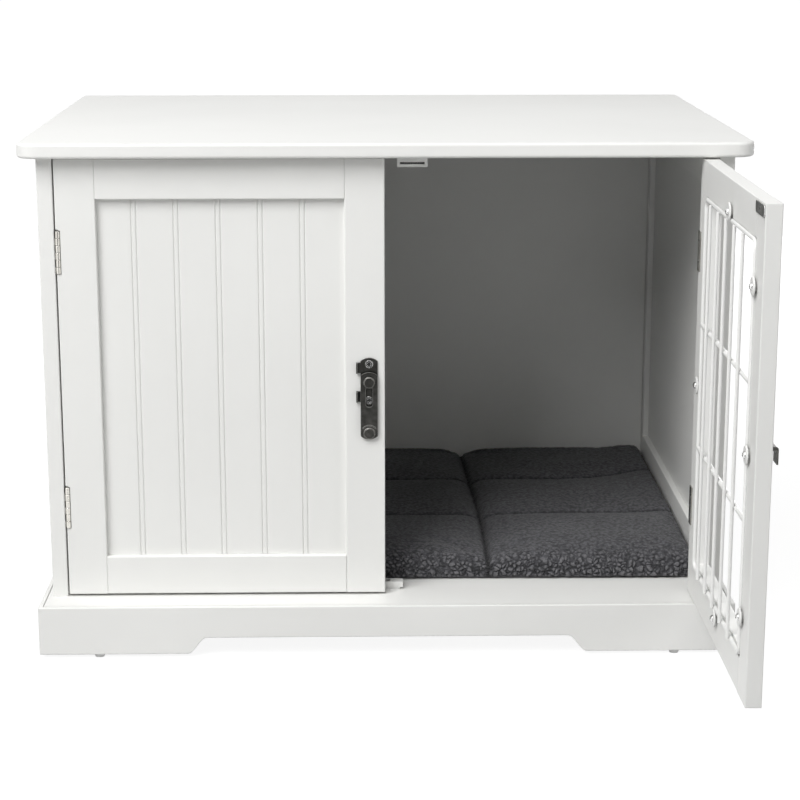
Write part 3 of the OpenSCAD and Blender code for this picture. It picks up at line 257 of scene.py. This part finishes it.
# %% Dark cards
def dark_card(name, place, tilt):
    bpy.ops.mesh.primitive_plane_add(size=1, location=place, rotation=(tilt, 0, 0))
    card = bpy.context.object
    card.name = name
    card.scale = (*card_size, 1)
    for kind in ("camera", "diffuse", "shadow", "transmission"):
        setattr(card, "visible_" + kind, False)
    card.data.materials.append(cloth_material)
    card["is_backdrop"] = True


card_size = (1.0, 1.3)
cloth_material, tree = empty_material("black_studio_cloth")
nap = noise_at(tree, object_place(tree), 4.0)
cloth = node(tree, "BsdfDiffuse", {"Color": tint(tree, nap, (0.02,) * 3, (0.03,) * 3)})
show(tree, cloth.outputs[0])
dark_card("low_dark_card", (0.0, -1.55, 0.001), 0)
dark_card("upright_dark_card", (0.0, -2.2, 0.65), math.radians(90))
print("dark cards: 2, seen only by mirror-like rays")

# %% [markdown]
# ## White paint on wood
#
# The boards carry a satin white paint. Up close it isn't one flat white: the roller leaves a fine
# orange-peel skin, the grain telegraphs through along each board, and the tone drifts a little.
# The grain has to run along the board, so there is one paint for each direction. The edges are
# rounded in the shading alone, because the boards' shapes belong to the construction model.

# %% Satin paint
def stretched(tree, place, rates):
    return node(tree, "Mapping", {"Vector": place, "Scale": rates}).outputs["Vector"]


def rounded_edges(tree, radius, samples=4):
    return node(tree, "Bevel", {"Radius": radius}, samples=samples).outputs["Normal"]


def raised(tree, height, strength, distance, on=None):
    inputs = {"Height": height, "Strength": strength, "Distance": distance}
    if on is not None:
        inputs["Normal"] = on
    return node(tree, "Bump", inputs).outputs["Normal"]


def satin_paint(name, grain_rates):
    material, tree = empty_material(name)
    place = object_place(tree)
    along = stretched(tree, place, grain_rates)
    grain_inputs = {"Vector": along, "Scale": 1.0, "Detail": 6.0, "Roughness": 0.65}
    grain = node(tree, "TexNoise", grain_inputs).outputs["Fac"]
    roller = noise_at(tree, place, 700.0)
    drift = noise_at(tree, place, 5.0, detail=3.0)
    grained = raised(tree, grain, 0.10, grain_depth, on=rounded_edges(tree, board_rounding))
    rolled = raised(tree, roller, 0.12, roller_depth, on=grained)
    surface(tree, Base_Color=tint(tree, drift, *paint_tones, 0.3, 0.7),
            Roughness=spread(tree, grain, 0.36, 0.50), Normal=rolled)
    return material


paint_tones = (0.790, 0.790, 0.770), (0.818, 0.818, 0.798)
board_rounding, grain_depth, roller_depth = 0.0013, 0.0006, 0.00012
across_rate, along_rate = 160.0, 9.0
paint_along = {
    "x": satin_paint("white_paint_along_x", (along_rate, across_rate, across_rate)),
    "y": satin_paint("white_paint_along_y", (across_rate, along_rate, across_rate)),
    "z": satin_paint("white_paint_along_z", (across_rate, across_rate, along_rate)),
}
print("paints:", len(paint_along))

# %% [markdown]
# ## Which way the grain runs
#
# A joiner cuts each board with the grain along its length. Top, floor and plinth boards run across
# the crate, the sides' rails run from front to back, and the stiles and the beaded panels stand
# upright. The open door's rails run from front to back too, because the door stands at a right
# angle at rest.

# %% Paint the boards
grain_runs = {
    "x": ["top_panel", "floor_panel", "plinth_front", "plinth_back", "left_door_top_rail",
          "left_door_bottom_rail"],
    "y": ["left_side_top_rail", "left_side_bottom_rail", "right_side_top_rail",
          "right_side_bottom_rail", "plinth_left", "plinth_right", "right_door_top_rail",
          "right_door_bottom_rail"],
    "z": ["left_side_front_stile", "left_side_back_stile", "right_side_front_stile",
          "right_side_back_stile", "left_side_panel", "right_side_panel", "back_panel",
          "left_door_hinge_stile", "left_door_free_stile", "left_door_panel",
          "right_door_hinge_stile", "right_door_free_stile"],
}


def finish_with(material, names):
    for name in names:
        slots = nodes[name].material_slots
        if not slots:
            nodes[name].data.materials.append(material)
        for slot in slots:
            slot.material = material


for direction, names in grain_runs.items():
    finish_with(paint_along[direction], names)
print("painted boards:", sum(len(names) for names in grain_runs.values()))

# %% [markdown]
# ## Dirt in corners
#
# Deep corners and slots of small parts let little light out, so shade is painted into their colour.
# Painting that by hand would take a map for each piece. Ambient occlusion measures how closed in a
# spot is, so it finds the corners whatever the shape, and the colour is darkened there.

# %% Recesses
def recess_shade(tree, reach, darkest, open_from, open_to=0.92):
    """Painted shade: white in the open, darkest where the surroundings lie closer than reach."""
    opening = node(tree, "AmbientOcclusion", {"Distance": reach}, samples=6).outputs["AO"]
    return tint(tree, opening, (darkest,) * 3, (1, 1, 1), open_from, open_to)


def blend_colour(tree, factor, first, second, kind="MIX"):
    inputs = {"Fac": factor, "Color1": first, "Color2": second}
    return node(tree, "MixRGB", inputs, blend_type=kind).outputs["Color"]


print("recess helper ready")

# %% [markdown]
# ## Coated wire and moulded plastic
#
# The grille is bent steel wire under a white powder coat, smoother than the paint and with a soft
# pebbled skin. The clips, catches, the stop and the glides are moulded plastic, which is duller.
# One pebbled finish serves them all. How dark the painted shade in the corners may get differs: the
# catches are deep, but dark corners at the grille's welds would look like crosses.

# %% Coating and plastic
corner_reach, moulded_rounding = 0.005, 0.0004


def pebbled(name, low, high, roughness, scale, height, darkest):
    material, tree = empty_material(name)
    pebbles = noise_at(tree, object_place(tree), scale, detail=3.0)
    body = tint(tree, pebbles, low, high, 0.3, 0.7)
    # painted shade in deep corners and slots
    painted_shade = recess_shade(tree, corner_reach, darkest, open_from=0.20)
    surface(tree, Base_Color=blend_colour(tree, 1.0, body, painted_shade, "MULTIPLY"),
            Roughness=spread(tree, pebbles, roughness - 0.05, roughness + 0.06),
            Normal=raised(tree, pebbles, 0.25, height, on=rounded_edges(tree, moulded_rounding)))
    return material


wire_coat = pebbled("white_powder_coat", (0.80, 0.80, 0.785), (0.84, 0.84, 0.825),
                    roughness=0.33, scale=900.0, height=0.00008, darkest=0.75)
clip_plastic = pebbled("white_clip_plastic", (0.75, 0.75, 0.735), (0.81, 0.81, 0.795),
                       roughness=0.42, scale=1400.0, height=0.00005, darkest=0.55)
catch_plastic = pebbled("white_catch_plastic", (0.80, 0.80, 0.78), (0.85, 0.85, 0.83),
                        roughness=0.42, scale=1400.0, height=0.00005, darkest=0.06)
glide_plastic = pebbled("pale_nail_glide", (0.76, 0.76, 0.75), (0.82, 0.82, 0.81),
                        roughness=0.40, scale=1200.0, height=0.00005, darkest=0.90)
coated = ((wire_coat, ["wire_grille"]), (clip_plastic, ["grille_clips", "bottom_door_stop"]),
          (catch_plastic, ["left_top_catch", "right_top_catch"]), (glide_plastic, ["glides"]))
for finish, names in coated:
    finish_with(finish, names)
print("coated and moulded nodes:", sum(len(names) for finish, names in coated))

# %% [markdown]
# ## Worn and highlighted edges
#
# The edges of small hardware are painted brighter, partly as the wear of hands and doors and partly
# as a painted highlight where the edges catch the lamps, and that is much of what tells metal from
# grey plastic. A rounded normal departs from the true one only at an edge, so where the two differ
# the brighter colour comes through. A noise breaks it up, so the bright edge is never even.

# %% Worn and highlighted edges
def worn_and_highlighted_edge(tree, width, patches):
    # a mask for the painted highlight and the wear along edges
    rounded = rounded_edges(tree, width, samples=6)
    true = node(tree, "NewGeometry").outputs["Normal"]
    same = node(tree, "VectorMath", {0: rounded, 1: true}, operation="DOT_PRODUCT").outputs["Value"]
    edge = spread(tree, same, 0.0, 1.0, start=0.995, end=0.90)
    wear_and_highlight = spread(tree, patches, 0.55, 1.0)
    return node(tree, "Math", {0: edge, 1: wear_and_highlight}, operation="MULTIPLY").outputs[0]


print("edge helper ready")

# %% [markdown]
# ## Metal
#
# Three metals: satin nickel on the hinges, bright zinc on the screws and strike plates, and a dark
# antique finish on the latch and its keeper. All are brushed, so a fine noise is stretched along
# one direction, and it moves both the gloss and a faint bump. One recipe makes all three.

# %% Brushed metals
wear_and_highlight_width, metal_rounding, brush_depth = 0.0007, 0.0003, 0.00006


def brushed(name, low, high, wear_and_highlight, roughness, strokes, reach, darkest, open_from=0.25):
    material, tree = empty_material(name)
    place = object_place(tree)
    brush = noise_at(tree, stretched(tree, place, strokes), 1.0, detail=4.0)
    patches = noise_at(tree, place, 160.0, detail=4.0)
    body = tint(tree, patches, low, high, 0.35, 0.7)
    # edges painted brighter, partly as wear and partly as painted highlight
    with_wear_and_highlight = blend_colour(tree, worn_and_highlighted_edge(tree, wear_and_highlight_width, patches), body, (*wear_and_highlight, 1))
    # painted shade in recesses, such as screw slots and the gaps around hinge leaves
    painted_shade = recess_shade(tree, reach, darkest, open_from)
    surface(tree, Base_Color=blend_colour(tree, 1.0, with_wear_and_highlight, painted_shade, "MULTIPLY"), Metallic=1.0,
            Roughness=spread(tree, brush, roughness - 0.06, roughness + 0.08),
            Normal=raised(tree, brush, 0.2, brush_depth, on=rounded_edges(tree, metal_rounding)))
    return material


nickel = brushed("satin_nickel", (0.66, 0.64, 0.59), (0.78, 0.76, 0.71), wear_and_highlight=(0.86, 0.85, 0.81),
                 roughness=0.18, strokes=(300, 300, 2600), reach=0.005, darkest=0.08)
zinc = brushed("bright_zinc", (0.74, 0.74, 0.73), (0.88, 0.88, 0.87), wear_and_highlight=(0.95, 0.95, 0.94),
               roughness=0.24, strokes=(2200, 2200, 400), reach=0.004, darkest=0.02,
               open_from=0.5)
antique = brushed("dark_antique_metal", (0.085, 0.084, 0.078), (0.150, 0.148, 0.138),
                  wear_and_highlight=(0.62, 0.61, 0.58), roughness=0.32, strokes=(2600, 2600, 300), reach=0.005,
                  darkest=0.10, open_from=0.35)
hinges = [name for name in nodes if name.endswith(("_leaf", "_hinge_pins"))]
screws = [name for name in nodes if name.endswith(("_screws", "_strike_plate"))]
latch = ["latch_base", "latch_rivet", "latch_bar", "latch_keeper"]
for metal, names in ((nickel, hinges), (zinc, screws), (antique, latch)):
    finish_with(metal, names)
print("metal nodes:", len(hinges) + len(screws) + len(latch))

# %% [markdown]
# ## Bare wood of the dowels
#
# The dowels are hidden in the frames, but a node that is never seen still gets its own finish:
# pale beech with grain along the dowel.

# %% Dowel wood
beech, tree = empty_material("pale_beech")
fibre = noise_at(tree, stretched(tree, object_place(tree), (900, 900, 60)), 1.0, detail=5.0)
surface(tree, Base_Color=tint(tree, fibre, (0.50, 0.35, 0.20), (0.70, 0.53, 0.34)),
        Roughness=spread(tree, fibre, 0.55, 0.75))
dowels = ["top_dowels", "right_door_dowels"]
finish_with(beech, dowels)
print("dowel nodes:", len(dowels))

# %% [markdown]
# ## The cushion's plain form
#
# The cushion is a quilted pad, three fields each way, that fills the crate from wall to wall.
# Cloth needs faces of one size, so the pad starts as a block with an even skin of 5 mm squares.
# Its edges are rounded by keeping each point a fixed distance from a smaller block inside it. The
# walls press the pad upright at the sides and the back, so the rounding there is tighter than in
# front.

# %% A block with an even skin
import numpy as np


def block_skin(counts):
    """Lattice points on the six sides of a block, and the squares between them."""
    numbers, faces = {}, []
    for axis in range(3):
        across, up = [other for other in range(3) if other != axis]
        for end in (0, counts[axis]):
            for i in range(counts[across]):
                for j in range(counts[up]):
                    ring = []
                    for step_i, step_j in ((0, 0), (1, 0), (1, 1), (0, 1)):
                        point = [0, 0, 0]
                        point[axis], point[across], point[up] = end, i + step_i, j + step_j
                        ring.append(numbers.setdefault(tuple(point), len(numbers)))
                    outward_as_drawn = (axis == 1) == (end == 0)
                    faces.append(ring if outward_as_drawn else ring[::-1])
    return np.array(list(numbers)), faces


cushion_low, cushion_high = (np.array(corner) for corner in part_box("cushion"))
cushion_size = cushion_high - cushion_low
skin_step, fewest_squares, pad_height = 0.005, 6, 0.030
counts = [max(fewest_squares, round(side / skin_step)) for side in (*cushion_size[:2], pad_height)]
lattice, squares = block_skin(counts)
print("squares along each side of the block:", counts)

# %% Round the block and make the pad
room_to_swell = 0.0015
low_rounding = np.array([0.006, 0.011, 0.004])
high_rounding = np.array([0.006, 0.006, 0.010])

pad_low = cushion_low + [room_to_swell, room_to_swell, 0]
pad_size = np.array([*(cushion_size[:2] - 2 * room_to_swell), pad_height])
places = pad_low + lattice / np.array(counts) * pad_size
core = np.clip(places, pad_low + low_rounding, pad_low + pad_size - high_rounding)
radii = np.where(places < core, low_rounding, high_rounding)
outward = (places - core) / radii
length = np.linalg.norm(outward, axis=1)
length[length == 0] = 1
places = core + outward / length[:, None] * radii
mesh = bpy.data.meshes.new("fleece_cushion")
mesh.from_pydata(places.tolist(), [], squares)
cushion = bpy.data.objects.new("fleece_cushion", mesh)
bpy.context.scene.collection.objects.link(cushion)
print("cushion skin:", len(places), "points,", len(squares), "squares")

# %% [markdown]
# ## Where the seams run
#
# Two seams run from front to back and two across. On the real pad they wander by some millimetres,
# which is what makes it look sewn. Each table says, for places along a seam, how far it strays
# from its straight line, in metres. Taking the bends out again tells how far any place lies from a
# seam.

# %% Seam lines
fields = 3
long_seams = {1: ((-0.20, 0.004), (0.02, 0.001), (0.24, 0.006)),
              2: ((-0.20, -0.001), (-0.06, -0.001), (0.08, -0.005), (0.24, -0.009))}
cross_seams = {1: ((-0.33, 0.002), (-0.18, -0.002), (-0.05, 0.003), (0.06, 0.001), (0.20, 0.005),
                   (0.33, 0.008)),
               2: ((-0.33, 0.006), (-0.16, 0.001), (0.06, 0.007), (0.20, 0.005), (0.25, 0.011),
                   (0.29, 0.027), (0.33, 0.036))}


def seam_gaps(places):
    """How far each place lies from the nearest long seam and from the nearest cross seam."""
    gaps = []
    for axis, seams in ((0, long_seams), (1, cross_seams)):
        field = cushion_size[axis] / fields
        lines = [cushion_low[axis] + field * number + np.interp(places[:, 1 - axis], *zip(*table))
                 for number, table in seams.items()]
        gaps.append(np.min([np.abs(places[:, axis] - line) for line in lines], axis=0))
    return gaps


print("seams along and across:", len(long_seams), len(cross_seams))

# %% [markdown]
# ## Heights of the stuffed fields
#
# The stuffing makes each field a flat cushion of its own, which falls away only near a seam. The
# long seams lie in deep valleys and the cross seams in shallow ones, which grow shallower still at
# the walls, where the pad is pushed up. Towards the back the pad has been lain on and is a little
# flatter, and its front edge droops.

# %% Valleys between the fields
long_depth, long_reach = 0.0075, 0.013
cross_depth, cross_reach = 0.0030, 0.012
lost_at_wall, kept_at_crossing = 0.6, 0.3
lain_on_depth, lain_on_band = 0.0035, (0.02, 0.16)
droop_depth, droop_band = 0.004, (0.150, 0.200)
pushed_up_band = 0.27, 0.325


def smooth_step(value, start, end):
    part = np.clip((value - start) / (end - start), 0, 1)
    return part * part * (3 - 2 * part)


def set_skin(mesh, places):
    mesh.vertices.foreach_set("co", places.ravel())
    mesh.update()


def valleys(places):
    long_gap, cross_gap = seam_gaps(places)
    by_wall = smooth_step(np.abs(places[:, 0]), *pushed_up_band)
    lain_on = lain_on_depth * smooth_step(places[:, 1], *lain_on_band) * (1 - by_wall)
    long_valley = long_depth * np.exp(-(long_gap / long_reach) ** 2)
    cross_valley = cross_depth * np.exp(-(cross_gap / cross_reach) ** 2)
    cross_valley = cross_valley * (1 - lost_at_wall * by_wall)
    deeper, shallower = np.maximum(long_valley, cross_valley), np.minimum(long_valley, cross_valley)
    return lain_on + deeper + kept_at_crossing * shallower


height_share = np.clip((places[:, 2] - cushion_low[2]) / pad_height, 0, 1)
front_droop = droop_depth * smooth_step(-places[:, 1], *droop_band)
places[:, 2] -= height_share * (valleys(places) + front_droop)
set_skin(mesh, places)
print("pad height before stuffing, in mm:", round(1000 * (places[:, 2].max() - cushion_low[2]), 1))

# %% [markdown]
# ## Stuffing the cushion
#
# Real wadding pushes the cloth out everywhere except where the stitches hold it. The cloth
# simulation does the same: pressure inside, and the seam lines and the underside pinned. The
# movement is capped, so that the pad can't grow through the walls.

# %% Points that the stitches and the floor hold
stitch_half_width, sewn_above, rest_height = 0.003, 0.018, 0.002


def read_vectors(items, name):
    flat = np.empty(len(items) * 3)
    items.foreach_get(name, flat)
    return flat.reshape(-1, 3)


before = read_vectors(cushion.data.vertices, "co")
nearest_seam = np.minimum(*seam_gaps(before))
sewn = (before[:, 2] > cushion_low[2] + sewn_above) & (nearest_seam < stitch_half_width)
resting = before[:, 2] < cushion_low[2] + rest_height
held = cushion.vertex_groups.new(name="held")
held.add(np.flatnonzero(sewn | resting).tolist(), 1.0, "REPLACE")
print("sewn points:", int(sewn.sum()), "resting points:", int(resting.sum()))

# %% Cloth simulation
most_movement, last_frame = 0.0045, 20


def bake_modifiers(piece):
    evaluated = piece.evaluated_get(bpy.context.evaluated_depsgraph_get())
    baked = bpy.data.meshes.new_from_object(evaluated)
    piece.modifiers.clear()
    piece.data = baked


stuffing = cushion.modifiers.new("stuffing", "CLOTH")
stuffing.settings.quality = 5
stuffing.settings.mass = 0.2
stuffing.settings.use_pressure = True
stuffing.settings.uniform_pressure_force = 4
stuffing.settings.vertex_group_mass = "held"
stuffing.settings.effector_weights.gravity = 0
stuffing.point_cache.frame_start, stuffing.point_cache.frame_end = 1, last_frame
for frame_number in range(1, last_frame + 1):
    bpy.context.scene.frame_set(frame_number)
bake_modifiers(cushion)
bpy.context.scene.frame_set(1)
moved = read_vectors(cushion.data.vertices, "co") - before
way = np.linalg.norm(moved, axis=1)
kept_share = np.minimum(1, most_movement / np.maximum(way, 1e-9))
set_skin(cushion.data, before + moved * kept_share[:, None])
print("stuffing moved the skin by up to", round(1000 * way.max(), 1), "mm, on average",
      round(1000 * way.mean(), 2), "mm")

# %% [markdown]
# ## A finer skin where the detail is
#
# A sewn channel is about 6 mm wide and a curl about 5 mm, so both need smaller faces than the
# cloth did. The whole skin is divided once. The squares along the seams, the front edge and the
# walls are divided once more, and the front edge again where the open doorway shows it. Fine faces
# only where they show keep the piece light.

# %% Finer skin
import bmesh

channel_reach, front_strip, wall_strip = 0.009, -0.165, 0.308
curl_strip, doorway_from = -0.172, -0.02


def split_faces(mesh, chosen):
    """Divide the chosen faces into four, their edges taken in the order of the faces."""
    work = bmesh.new()
    work.from_mesh(mesh)
    work.faces.ensure_lookup_table()
    edges = dict.fromkeys(edge for number in np.flatnonzero(chosen)
                          for edge in work.faces[number].edges)
    bmesh.ops.subdivide_edges(work, edges=list(edges), cuts=1, use_grid_fill=True, smooth=0.0)
    work.to_mesh(mesh)
    work.free()


finer = cushion.modifiers.new("finer_skin", "SUBSURF")
finer.levels = 1
bake_modifiers(cushion)

middles = read_vectors(cushion.data.polygons, "center")
above_rest = middles[:, 2] > cushion_low[2] + rest_height
by_seam = np.minimum(*seam_gaps(middles)) < channel_reach
by_edge = (middles[:, 1] < front_strip) | (np.abs(middles[:, 0]) > wall_strip)
split_faces(cushion.data, above_rest & (by_seam | by_edge))

middles = read_vectors(cushion.data.polygons, "center")
above_rest = middles[:, 2] > cushion_low[2] + rest_height
in_doorway = (middles[:, 1] < curl_strip) & (middles[:, 0] > doorway_from)
split_faces(cushion.data, above_rest & in_doorway)
print("fine skin points:", len(cushion.data.vertices))

# %% [markdown]
# ## Sewn channels and curls
#
# The stitches pull a narrow groove into the valley, and the pile on both sides closes over it. The
# pile is a curly fleece: small knobs that stand out most along the front edge, where light catches
# them. A cell pattern gives round knobs with narrow gaps, which plain noise wouldn't, and a large
# and a small size together keep them from looking like a print. Blender starts this noise from the
# clock unless it is given a seed, so a seed is set first, and the curls lie in the same places each
# run. How deep a point lies, in a groove or between curls, is kept with the mesh for the painted
# shade and highlight in the colour.

# %% The shape of a curl
from mathutils import noise

curl_seed = 1
large_knob, small_knob, mean_knob = 0.0052, 0.0026, 0.45
noise.seed_set(curl_seed)


def knob(place, size):
    """Height of a curl at a place: 1 on top of a round knob, 0 in the gap between knobs."""
    bent = Vector(place) / size + 0.7 * noise.noise_vector(Vector(place) / (1.3 * size))
    nearest, second = noise.voronoi(bent)[0][:2]
    dome = math.sqrt(max(0.0, 1 - (nearest / 0.85) ** 2))
    return dome * min(1.0, 3.0 * (second - nearest))


places = read_vectors(cushion.data.vertices, "co")
normals = read_vectors(cushion.data.vertices, "normal")
curls = np.array([0.70 * knob(place, large_knob) + 0.30 * knob(place, small_knob)
                  for place in places])
print("mean knob height:", round(float(curls.mean()), 2))

# %% Channels along the seams
stray_by, stray_over = 0.0016, 0.0045
long_channel, long_cut = 0.0030, 0.0062
cross_channel, cross_cut = 0.0028, 0.0040

long_gap, cross_gap = seam_gaps(places)
stray = stray_by * np.array([noise.noise(Vector(place) / stray_over) for place in places])
long_groove = np.exp(-((long_gap + stray) / long_channel) ** 2)
cross_groove = np.exp(-((cross_gap + stray) / cross_channel) ** 2)
groove = np.maximum(long_cut * long_groove, cross_cut * cross_groove)
print("deepest groove in mm:", round(1000 * groove.max(), 1))

# %% Raise the pile and cut the channels
flat_pile, edge_pile = 0.0007, 0.0033
front_band, wall_band, wall_share = (0.174, 0.210), (0.312, 0.326), 0.45

front_edge = smooth_step(-places[:, 1], *front_band)
wall_edge = wall_share * smooth_step(np.abs(places[:, 0]), *wall_band)
curly = np.maximum(front_edge, wall_edge)
off_rest = smooth_step(places[:, 2], cushion_low[2] + 0.001, cushion_low[2] + 0.004)
curl_height = flat_pile + edge_pile * curly
places = places + normals * ((curls - mean_knob) * curl_height * off_rest)[:, None]
places[:, 2] -= groove * np.clip(normals[:, 2], 0, 1)
set_skin(cushion.data, np.clip(places, cushion_low, cushion_high))
for face in cushion.data.polygons:
    face.use_smooth = True
print("pile in mm, flat and at most:", 1000 * flat_pile, round(1000 * curl_height.max(), 1))

# %% Keep the depths with the mesh
def keep_with_mesh(name, values):
    kept = cushion.data.attributes.new(name, "FLOAT", "POINT")
    kept.data.foreach_set("value", values)


keep_with_mesh("pile_depth", np.maximum(long_groove, cross_groove))
# curl heights for the painted gap shade and tip highlight, strongest along the front edge and walls
keep_with_mesh("curl_tips", (curls - mean_knob) * (0.12 + 0.88 * curly) * off_rest)
print("kept with the mesh:", [kept.name for kept in cushion.data.attributes])

# %% [markdown]
# ## Fleece
#
# The pile is a cool dark grey. Light would sink into the gaps between curls and brush their tips,
# so shade and highlight are painted into the colour: the depth kept with the mesh gives painted
# shade in the grooves and gaps and a painted highlight on the tips, and a fine cell pattern paints
# the same for pile too small for the mesh. A soft sheen lightens edges that are seen at a slant, as
# loose fibres do.

# %% Pile pattern
fleece, tree = empty_material("grey_curly_fleece")
place = object_place(tree)
swayed = blend_colour(tree, 0.004, place, noise_at(tree, place, 160.0, output="Color"), "ADD")
cell_inputs = {"Vector": swayed, "Scale": 300.0, "Randomness": 1.0}
cells = node(tree, "TexVoronoi", cell_inputs, feature="SMOOTH_F1").outputs["Distance"]
knots = spread(tree, cells, 1.0, 0.0)
fibres = noise_at(tree, place, 1300.0, detail=4.0)
pile_inputs = {0: knots, 1: spread(tree, fibres, 0.0, 0.6)}
pile = node(tree, "Math", pile_inputs, operation="ADD").outputs[0]
print("nodes in the pile pattern:", len(tree.nodes))

# %% Fleece colour
pile_tones = (0.040, 0.040, 0.044), (0.128, 0.127, 0.139)
painted_groove_shade, painted_gap_shade = (0.012, 0.012, 0.013), (0.016, 0.016, 0.018)
painted_tip_highlight = (0.235, 0.232, 0.243)

# the cell pattern paints shade between the knots and highlight on them, over the fleece's own grey
pile_colour = tint(tree, knots, *pile_tones, 0.40, 0.95)
drift = noise_at(tree, place, 26.0, detail=4.0)
trodden = tint(tree, drift, (0.86,) * 3, (1.0,) * 3, 0.35, 0.7)
body = blend_colour(tree, 1.0, pile_colour, trodden, "MULTIPLY")
height = node(tree, "Attribute", attribute_name="curl_tips").outputs["Fac"]
# painted shade between the curls and painted highlight on their tips
gap_shade_share = spread(tree, height, 0.0, 0.60, end=-0.42)
tip_highlight_share = spread(tree, height, 0.0, 0.75, end=0.52)
with_gap_shade = blend_colour(tree, gap_shade_share, body, (*painted_gap_shade, 1))
with_tip_highlight = blend_colour(tree, tip_highlight_share, with_gap_shade, (*painted_tip_highlight, 1))
sunk = node(tree, "Attribute", attribute_name="pile_depth").outputs["Fac"]
# painted shade in the sewn grooves
colour = blend_colour(tree, spread(tree, sunk, 0.0, 0.85), with_tip_highlight, (*painted_groove_shade, 1))
pile_relief = 0.0013
surface(tree, Base_Color=colour, Roughness=spread(tree, fibres, 0.88, 1.0),
        Normal=raised(tree, pile, 0.85, pile_relief), Sheen_Weight=0.10, Sheen_Roughness=0.5)
cushion.data.materials.clear()
cushion.data.materials.append(fleece)
print("nodes in the whole fleece:", len(tree.nodes))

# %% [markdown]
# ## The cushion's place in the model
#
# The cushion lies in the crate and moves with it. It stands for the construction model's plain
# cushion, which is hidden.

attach(cushion, "crate")
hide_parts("cushion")
print("cushion box in mm:", [round(1000 * side) for side in cushion.dimensions])

# %% [markdown]
# ## The two sizes
#
# The construction model's box was kept at the start; the box of everything that shows now is
# measured, and the largest change between the two is printed.

shown_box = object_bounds()
box_change = np.abs(np.array(shown_box) - np.array(solid_box)).max()
print("largest change of the box in mm:", round(1000 * float(box_change), 2))
